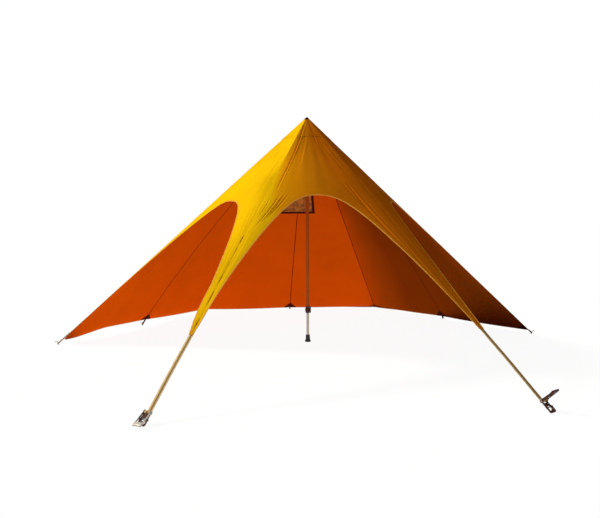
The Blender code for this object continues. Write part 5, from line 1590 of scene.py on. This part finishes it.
def make_peg_loop(name, hem, away, down):
    """Webbing loop at a point of the hem, and the peg through it."""
    start = hem + down * GAP
    long = (start.z - trim().loop_end) / -down.z
    across = Vector((-away.y, away.x, 0.0))
    lift = across.cross(down).normalized()
    lift = lift if lift.z > 0.0 else -lift
    half, deep = trim().loop_band / 2, trim().loop_depth / 2
    path = loop_path(long)
    run = np.roll(path, -1, axis=0) - np.roll(path, 1, axis=0)
    run /= np.linalg.norm(run, axis=1, keepdims=True)
    rings = []
    for (x, y), (run_x, run_y) in zip(path, run):
        rings.append([start + down * (x + run_y * out) + across * (y - run_x * out) + lift * over
                      for out, over in ((half, -deep), (half, deep), (-half, deep), (-half, -deep))])
    finish, slot_name = "maroon_webbing", "maroon_webbing"
    if name == "left_corner":
        finish, slot_name = "hem_tape", "edge_tape"
    made = swept_piece(f"{name}_webbing_loop", rings, finish, looped=True, sharp=50)
    settle(made, slot_name, f"{name}_loop")
    make_peg(name, start, long, away, down, lift)


def make_peg(name, start, long, away, down, lift):
    """Peg with a hook, driven through the end of a loop and leaning away from the tent."""
    sizes = hardware()
    lean = sizes.peg_lean
    axis = away * sin(lean) + Vector((0.0, 0.0, cos(lean)))
    slant = axis.angle(lift)
    room = sizes.peg_radius / cos(slant) + trim().loop_depth / 2 * tan(slant) + GAP
    grip = start + down * (long - trim().loop_band - room)
    foot = grip + axis * (-(grip.z + sizes.driven_depth - sizes.peg_radius * sin(lean)) / cos(lean))
    top = grip + axis * sizes.peg_rise
    level = away * cos(lean) - Vector((0.0, 0.0, sin(lean)))
    points = [foot, foot.lerp(grip, 0.1), foot.lerp(grip, 0.5), foot.lerp(grip, 0.95), top]
    centre = top + level * sizes.peg_hook
    for step in range(1, 19):
        turn = pi - pi * step / 18 * 0.95
        points.append(centre + (level * cos(turn) + axis * sin(turn)) * sizes.peg_hook)
    rod = swept_piece(f"{name}_peg_steel", rod_rings(points, sizes.peg_radius), "zinc_plate")
    settle(rod, "galvanised_steel", f"{name}_peg", keep=False)


# Pole

def make_tube(part, radius, finish, slot_name, body):
    """Lower or upper tube of the pole, between the ends of its CAD node."""
    low, high = (corner.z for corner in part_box(f"pole_{part}_tube"))
    inner = radius - hardware().tube_wall
    made = turned_piece(f"pole_{part}_metal", [(inner, low), (radius, low), (radius, high), (inner, high)],
                        finish)
    settle(made, slot_name, f"pole_{part}_tube", body=body, keep=False)


def make_pole():
    """Foot and both tubes, and the finishes of the CAD pieces on them."""
    sizes = hardware()
    lower, foot, tall = sizes.lower_tube, sizes.foot_radius, sizes.foot_height
    hole = lower + GAP
    made = turned_piece("pole_foot_rubber", [
        (0.0, 0.0), (foot - 0.002, 0.0), (foot, 0.002), (foot, 0.010), (foot - 0.0015, 0.0125),
        (foot - 0.005, 0.020), (foot - 0.008, 0.028), (lower + 0.0088, 0.060),
        (lower + 0.0080, tall - 0.006), (lower + 0.0070, tall - 0.001), (lower + 0.0060, tall),
        (hole, tall), (hole, 0.010), (0.0, 0.010)],
        "foot_rubber")
    settle(made, "foot_rubber", "pole_foot", keep=False)
    make_tube("lower", lower, "pale_tube", "pale_metal", "tent")
    # The upper tube's finish is partly paint and partly painted shade.
    make_tube("upper", sizes.upper_tube, "bronze_paint", "bronze_paint", "pole_upper_section")
    for node in ("pole_glide_bush", "pole_top_plug", "clamp_collar"):
        finish_node(node, "black_plastic")
    finish_node("peak_cup", "black_plastic", bevel=0.0008)
    finish_node("clamp_pin", "zinc_plate", bevel=0.0002)
    finish_node("clamp_lever", "dark_steel")


# Stage

# The photograph's viewpoint, and the level direction that it looks in
CAMERA_PLACE = (-0.867, -7.201, 1.595)
CAMERA_HEADING = (0.1071, 0.9942)
SENSOR_WIDTH = 36.0  # millimetres
SUN_PLACE = (-7.4, 2.7, 6.15)  # only its direction from the origin counts
BOUNCE_PLACE = (-0.3, 0.5, 0.02)
BOUNCE_TARGET = (-0.3, 0.5, 3.0)
FLOOR_GLOW = 1.085  # strength of the white that the camera sees over the floor's shadows
FLOOR_GLOW_SHARE = 0.86


def camera_matrix(pitch, roll):
    """Place and axes of the camera."""
    heading = Vector((*CAMERA_HEADING, 0.0)).normalized()
    ahead = Vector((heading.x * cos(pitch), heading.y * cos(pitch), -sin(pitch)))
    right = Vector((heading.y, -heading.x, 0.0))
    up = right.cross(ahead)
    right, up = right * cos(roll) - up * sin(roll), right * sin(roll) + up * cos(roll)
    return placed_axes(right, up, -ahead, CAMERA_PLACE)


def seen_rays(nodes, links):
    """1 for camera, glossy and transmission rays, which see the white background."""
    path = nodes.new("ShaderNodeLightPath")
    found = path.outputs["Is Camera Ray"]
    for name in ("Is Glossy Ray", "Is Transmission Ray"):
        most = nodes.new("ShaderNodeMath")
        most.operation = "MAXIMUM"
        links.new(found, most.inputs[0])
        links.new(path.outputs[name], most.inputs[1])
        found = most.outputs[0]
    return found


def show_white(tree, plain, white, share=1.0):
    """Shader that is plain for light, and a share of white for the rays that see the background."""
    nodes, links = tree.nodes, tree.links
    part = nodes.new("ShaderNodeMath")
    part.operation = "MULTIPLY"
    part.inputs[1].default_value = share
    links.new(seen_rays(nodes, links), part.inputs[0])
    mix = nodes.new("ShaderNodeMixShader")
    links.new(part.outputs[0], mix.inputs["Fac"])
    links.new(plain.outputs[0], mix.inputs[1])
    links.new(white.outputs[0], mix.inputs[2])
    return mix.outputs["Shader"]


def make_floor(sizes):
    """Pale floor that looks white to the camera apart from its shadows."""
    mesh = bpy.data.meshes.new("floor")
    half = sizes.floor_size / 2
    mesh.from_pydata([(-half, -half, 0.0), (half, -half, 0.0), (half, half, 0.0), (-half, half, 0.0)], [],
                     [(0, 1, 2, 3)])
    material = bpy.data.materials.new("floor")
    material.use_nodes = True
    tree = material.node_tree
    shader = tree.nodes["Principled BSDF"]
    shader.inputs["Base Color"].default_value = (*sizes.floor_colour, 1.0)
    shader.inputs["Roughness"].default_value = 0.95
    shader.inputs["Specular IOR Level"].default_value = 0.1
    glow = tree.nodes.new("ShaderNodeEmission")
    glow.inputs["Strength"].default_value = FLOOR_GLOW
    seen = show_white(tree, shader, glow, FLOOR_GLOW_SHARE)
    tree.links.new(seen, tree.nodes["Material Output"].inputs["Surface"])
    mesh.materials.append(material)
    add_object("floor", mesh)


def make_world(sizes):
    """Warm fill light, with a white background behind the tent."""
    world = bpy.data.worlds.new("studio")
    bpy.context.scene.world = world
    world.use_nodes = True
    tree = world.node_tree
    light = tree.nodes["Background"]
    light.inputs["Color"].default_value = (1.0, 0.92, 0.80, 1.0)
    light.inputs["Strength"].default_value = sizes.fill
    white = tree.nodes.new("ShaderNodeBackground")
    white.inputs["Color"].default_value = (1.0, 1.0, 1.0, 1.0)
    white.inputs["Strength"].default_value = 1.0
    tree.links.new(show_white(tree, light, white), tree.nodes["World Output"].inputs["Surface"])


def make_lamp(name, kind, place, target, power, tint, size):
    """Lamp that shines from its place at a target."""
    lamp = bpy.data.lights.new(name, kind)
    lamp.energy = power
    lamp.color = tint
    if kind == "SUN":
        lamp.angle = size
    else:
        lamp.shape = "DISK"
        lamp.size = size
    made = add_object(name, lamp)
    turn = (Vector(target) - Vector(place)).to_track_quat("-Z", "Y").to_matrix().to_4x4()
    made.matrix_world = Matrix.Translation(place) @ turn
    made.visible_camera = False
    made.visible_glossy = kind == "SUN"


# Operators

class STARTENT_OT_stage(bpy.types.Operator):
    """Camera at the photograph's viewpoint, pale floor, white surroundings and soft lamps"""
    bl_idname = "star_tent.stage"
    bl_label = "Stage"

    def execute(self, context):
        scene = context.scene
        sizes = scene.star_tent_stage
        camera = bpy.data.cameras.new("camera")
        camera.sensor_width = SENSOR_WIDTH
        camera.lens = sizes.lens
        camera.clip_end = 500.0
        made = add_object("camera", camera)
        made.matrix_world = camera_matrix(sizes.camera_pitch, sizes.camera_roll)
        scene.camera = made
        scene.view_settings.view_transform = "Standard"
        make_floor(sizes)
        make_world(sizes)
        make_lamp("sun", "SUN", SUN_PLACE, (0.0, 0.0, 0.0), sizes.key, (1.0, 0.98, 0.93), radians(9))
        make_lamp("under_canopy", "AREA", BOUNCE_PLACE, BOUNCE_TARGET, sizes.bounce, (1.0, 0.95, 0.88), 5.0)
        return {"FINISHED"}


class STARTENT_OT_open_sides(bpy.types.Operator):
    """Cloth over the three doorways, with the binding round their edges"""
    bl_idname = "star_tent.open_sides"
    bl_label = "Open sides"

    def execute(self, context):
        for side in OPEN_SIDES:
            make_open_side(side)
            make_arch_tape(side)
        return {"FINISHED"}


class STARTENT_OT_walls(bpy.types.Operator):
    """The six gores of the three walls, with their hem tapes, patches and window"""
    bl_idname = "star_tent.walls"
    bl_label = "Walls"

    def execute(self, context):
        for side in WALL_SIDES:
            make_gore(side, -1)
            make_gore(side, 1)
            make_hem(side)
            make_patch(side)
        make_corner_patch()
        make_vent()
        return {"FINISHED"}


class STARTENT_OT_crown_and_seams(bpy.types.Operator):
    """Crown over the peak, felled seams and seam tapes"""
    bl_idname = "star_tent.crown_and_seams"
    bl_label = "Crown and seams"

    def execute(self, context):
        make_crown()
        make_seams()
        return {"FINISHED"}


class STARTENT_OT_stitching(bpy.types.Operator):
    """Rows of stitches along the doorways, seams, hems and crown"""
    bl_idname = "star_tent.stitching"
    bl_label = "Stitching"

    def execute(self, context):
        for side, name in OPEN_SIDES.items():
            settle(make_stitches(f"{name}_arch_stitches", arch_stitch_lines(side)), "edge_tape")
        settle(make_stitches("seam_stitches", seam_stitch_lines()), "edge_tape")
        hems = [line for side in WALL_SIDES for line in hem_stitch_lines(side)]
        settle(make_stitches("hem_stitches", hems), "edge_tape")
        settle(make_stitches("crown_stitches", crown_stitch_lines()), "edge_tape")
        return {"FINISHED"}


class STARTENT_OT_front_corners(bpy.types.Operator):
    """Leg straps, wound webbing, ratchets and stakes"""
    bl_idname = "star_tent.front_corners"
    bl_label = "Front corners"

    def execute(self, context):
        for side_name, corner in FRONT_CORNERS.items():
            make_leg_strap(side_name, corner)
            make_wound_webbing(side_name, corner)
            make_ratchet(side_name)
            make_stake(side_name, corner)
        return {"FINISHED"}


class STARTENT_OT_pegs(bpy.types.Operator):
    """Pegs and webbing loops along the hem"""
    bl_idname = "star_tent.pegs"
    bl_label = "Pegs and loops"

    def execute(self, context):
        for site in peg_sites():
            make_peg_loop(*site)
        return {"FINISHED"}


class STARTENT_OT_pole(bpy.types.Operator):
    """Foot, both tubes, collar with its lever, top plug and cup"""
    bl_idname = "star_tent.pole"
    bl_label = "Pole"

    def execute(self, context):
        make_pole()
        return {"FINISHED"}


OPERATORS = (STARTENT_OT_stage, STARTENT_OT_open_sides, STARTENT_OT_walls, STARTENT_OT_crown_and_seams,
             STARTENT_OT_stitching, STARTENT_OT_front_corners, STARTENT_OT_pegs, STARTENT_OT_pole)


class STARTENT_PT_panel(bpy.types.Panel):
    """Sizes, colours and builders of the star tent"""
    bl_idname = "STARTENT_PT_panel"
    bl_label = "Star tent"
    bl_space_type = "VIEW_3D"
    bl_region_type = "UI"
    bl_category = "Star tent"

    def draw(self, context):
        for operator in OPERATORS:
            self.layout.operator(operator.bl_idname)
        scene = context.scene
        for group in (scene.star_tent_canopy, scene.star_tent_trim, scene.star_tent_hardware,
                      scene.star_tent_colours, scene.star_tent_stage):
            box = self.layout.box()
            for name in group.__annotations__:
                box.prop(group, name)


GROUPS = {"star_tent_canopy": CanopySizes, "star_tent_trim": TrimSizes, "star_tent_hardware": HardwareSizes,
          "star_tent_colours": TentColours, "star_tent_stage": StageSizes}


def register():
    for group in GROUPS.values():
        bpy.utils.register_class(group)
    for operator in OPERATORS:
        bpy.utils.register_class(operator)
    bpy.utils.register_class(STARTENT_PT_panel)
    for name, group in GROUPS.items():
        setattr(bpy.types.Scene, name, PointerProperty(type=group))


def unregister():
    for name in GROUPS:
        delattr(bpy.types.Scene, name)
    bpy.utils.unregister_class(STARTENT_PT_panel)
    for operator in reversed(OPERATORS):
        bpy.utils.unregister_class(operator)
    for group in reversed(list(GROUPS.values())):
        bpy.utils.unregister_class(group)


def main():
    """Build the whole tent through its operators."""
    register()
    for operator in OPERATORS:
        getattr(bpy.ops.star_tent, operator.bl_idname.split(".")[1])()


if __name__ == "__main__":
    main()
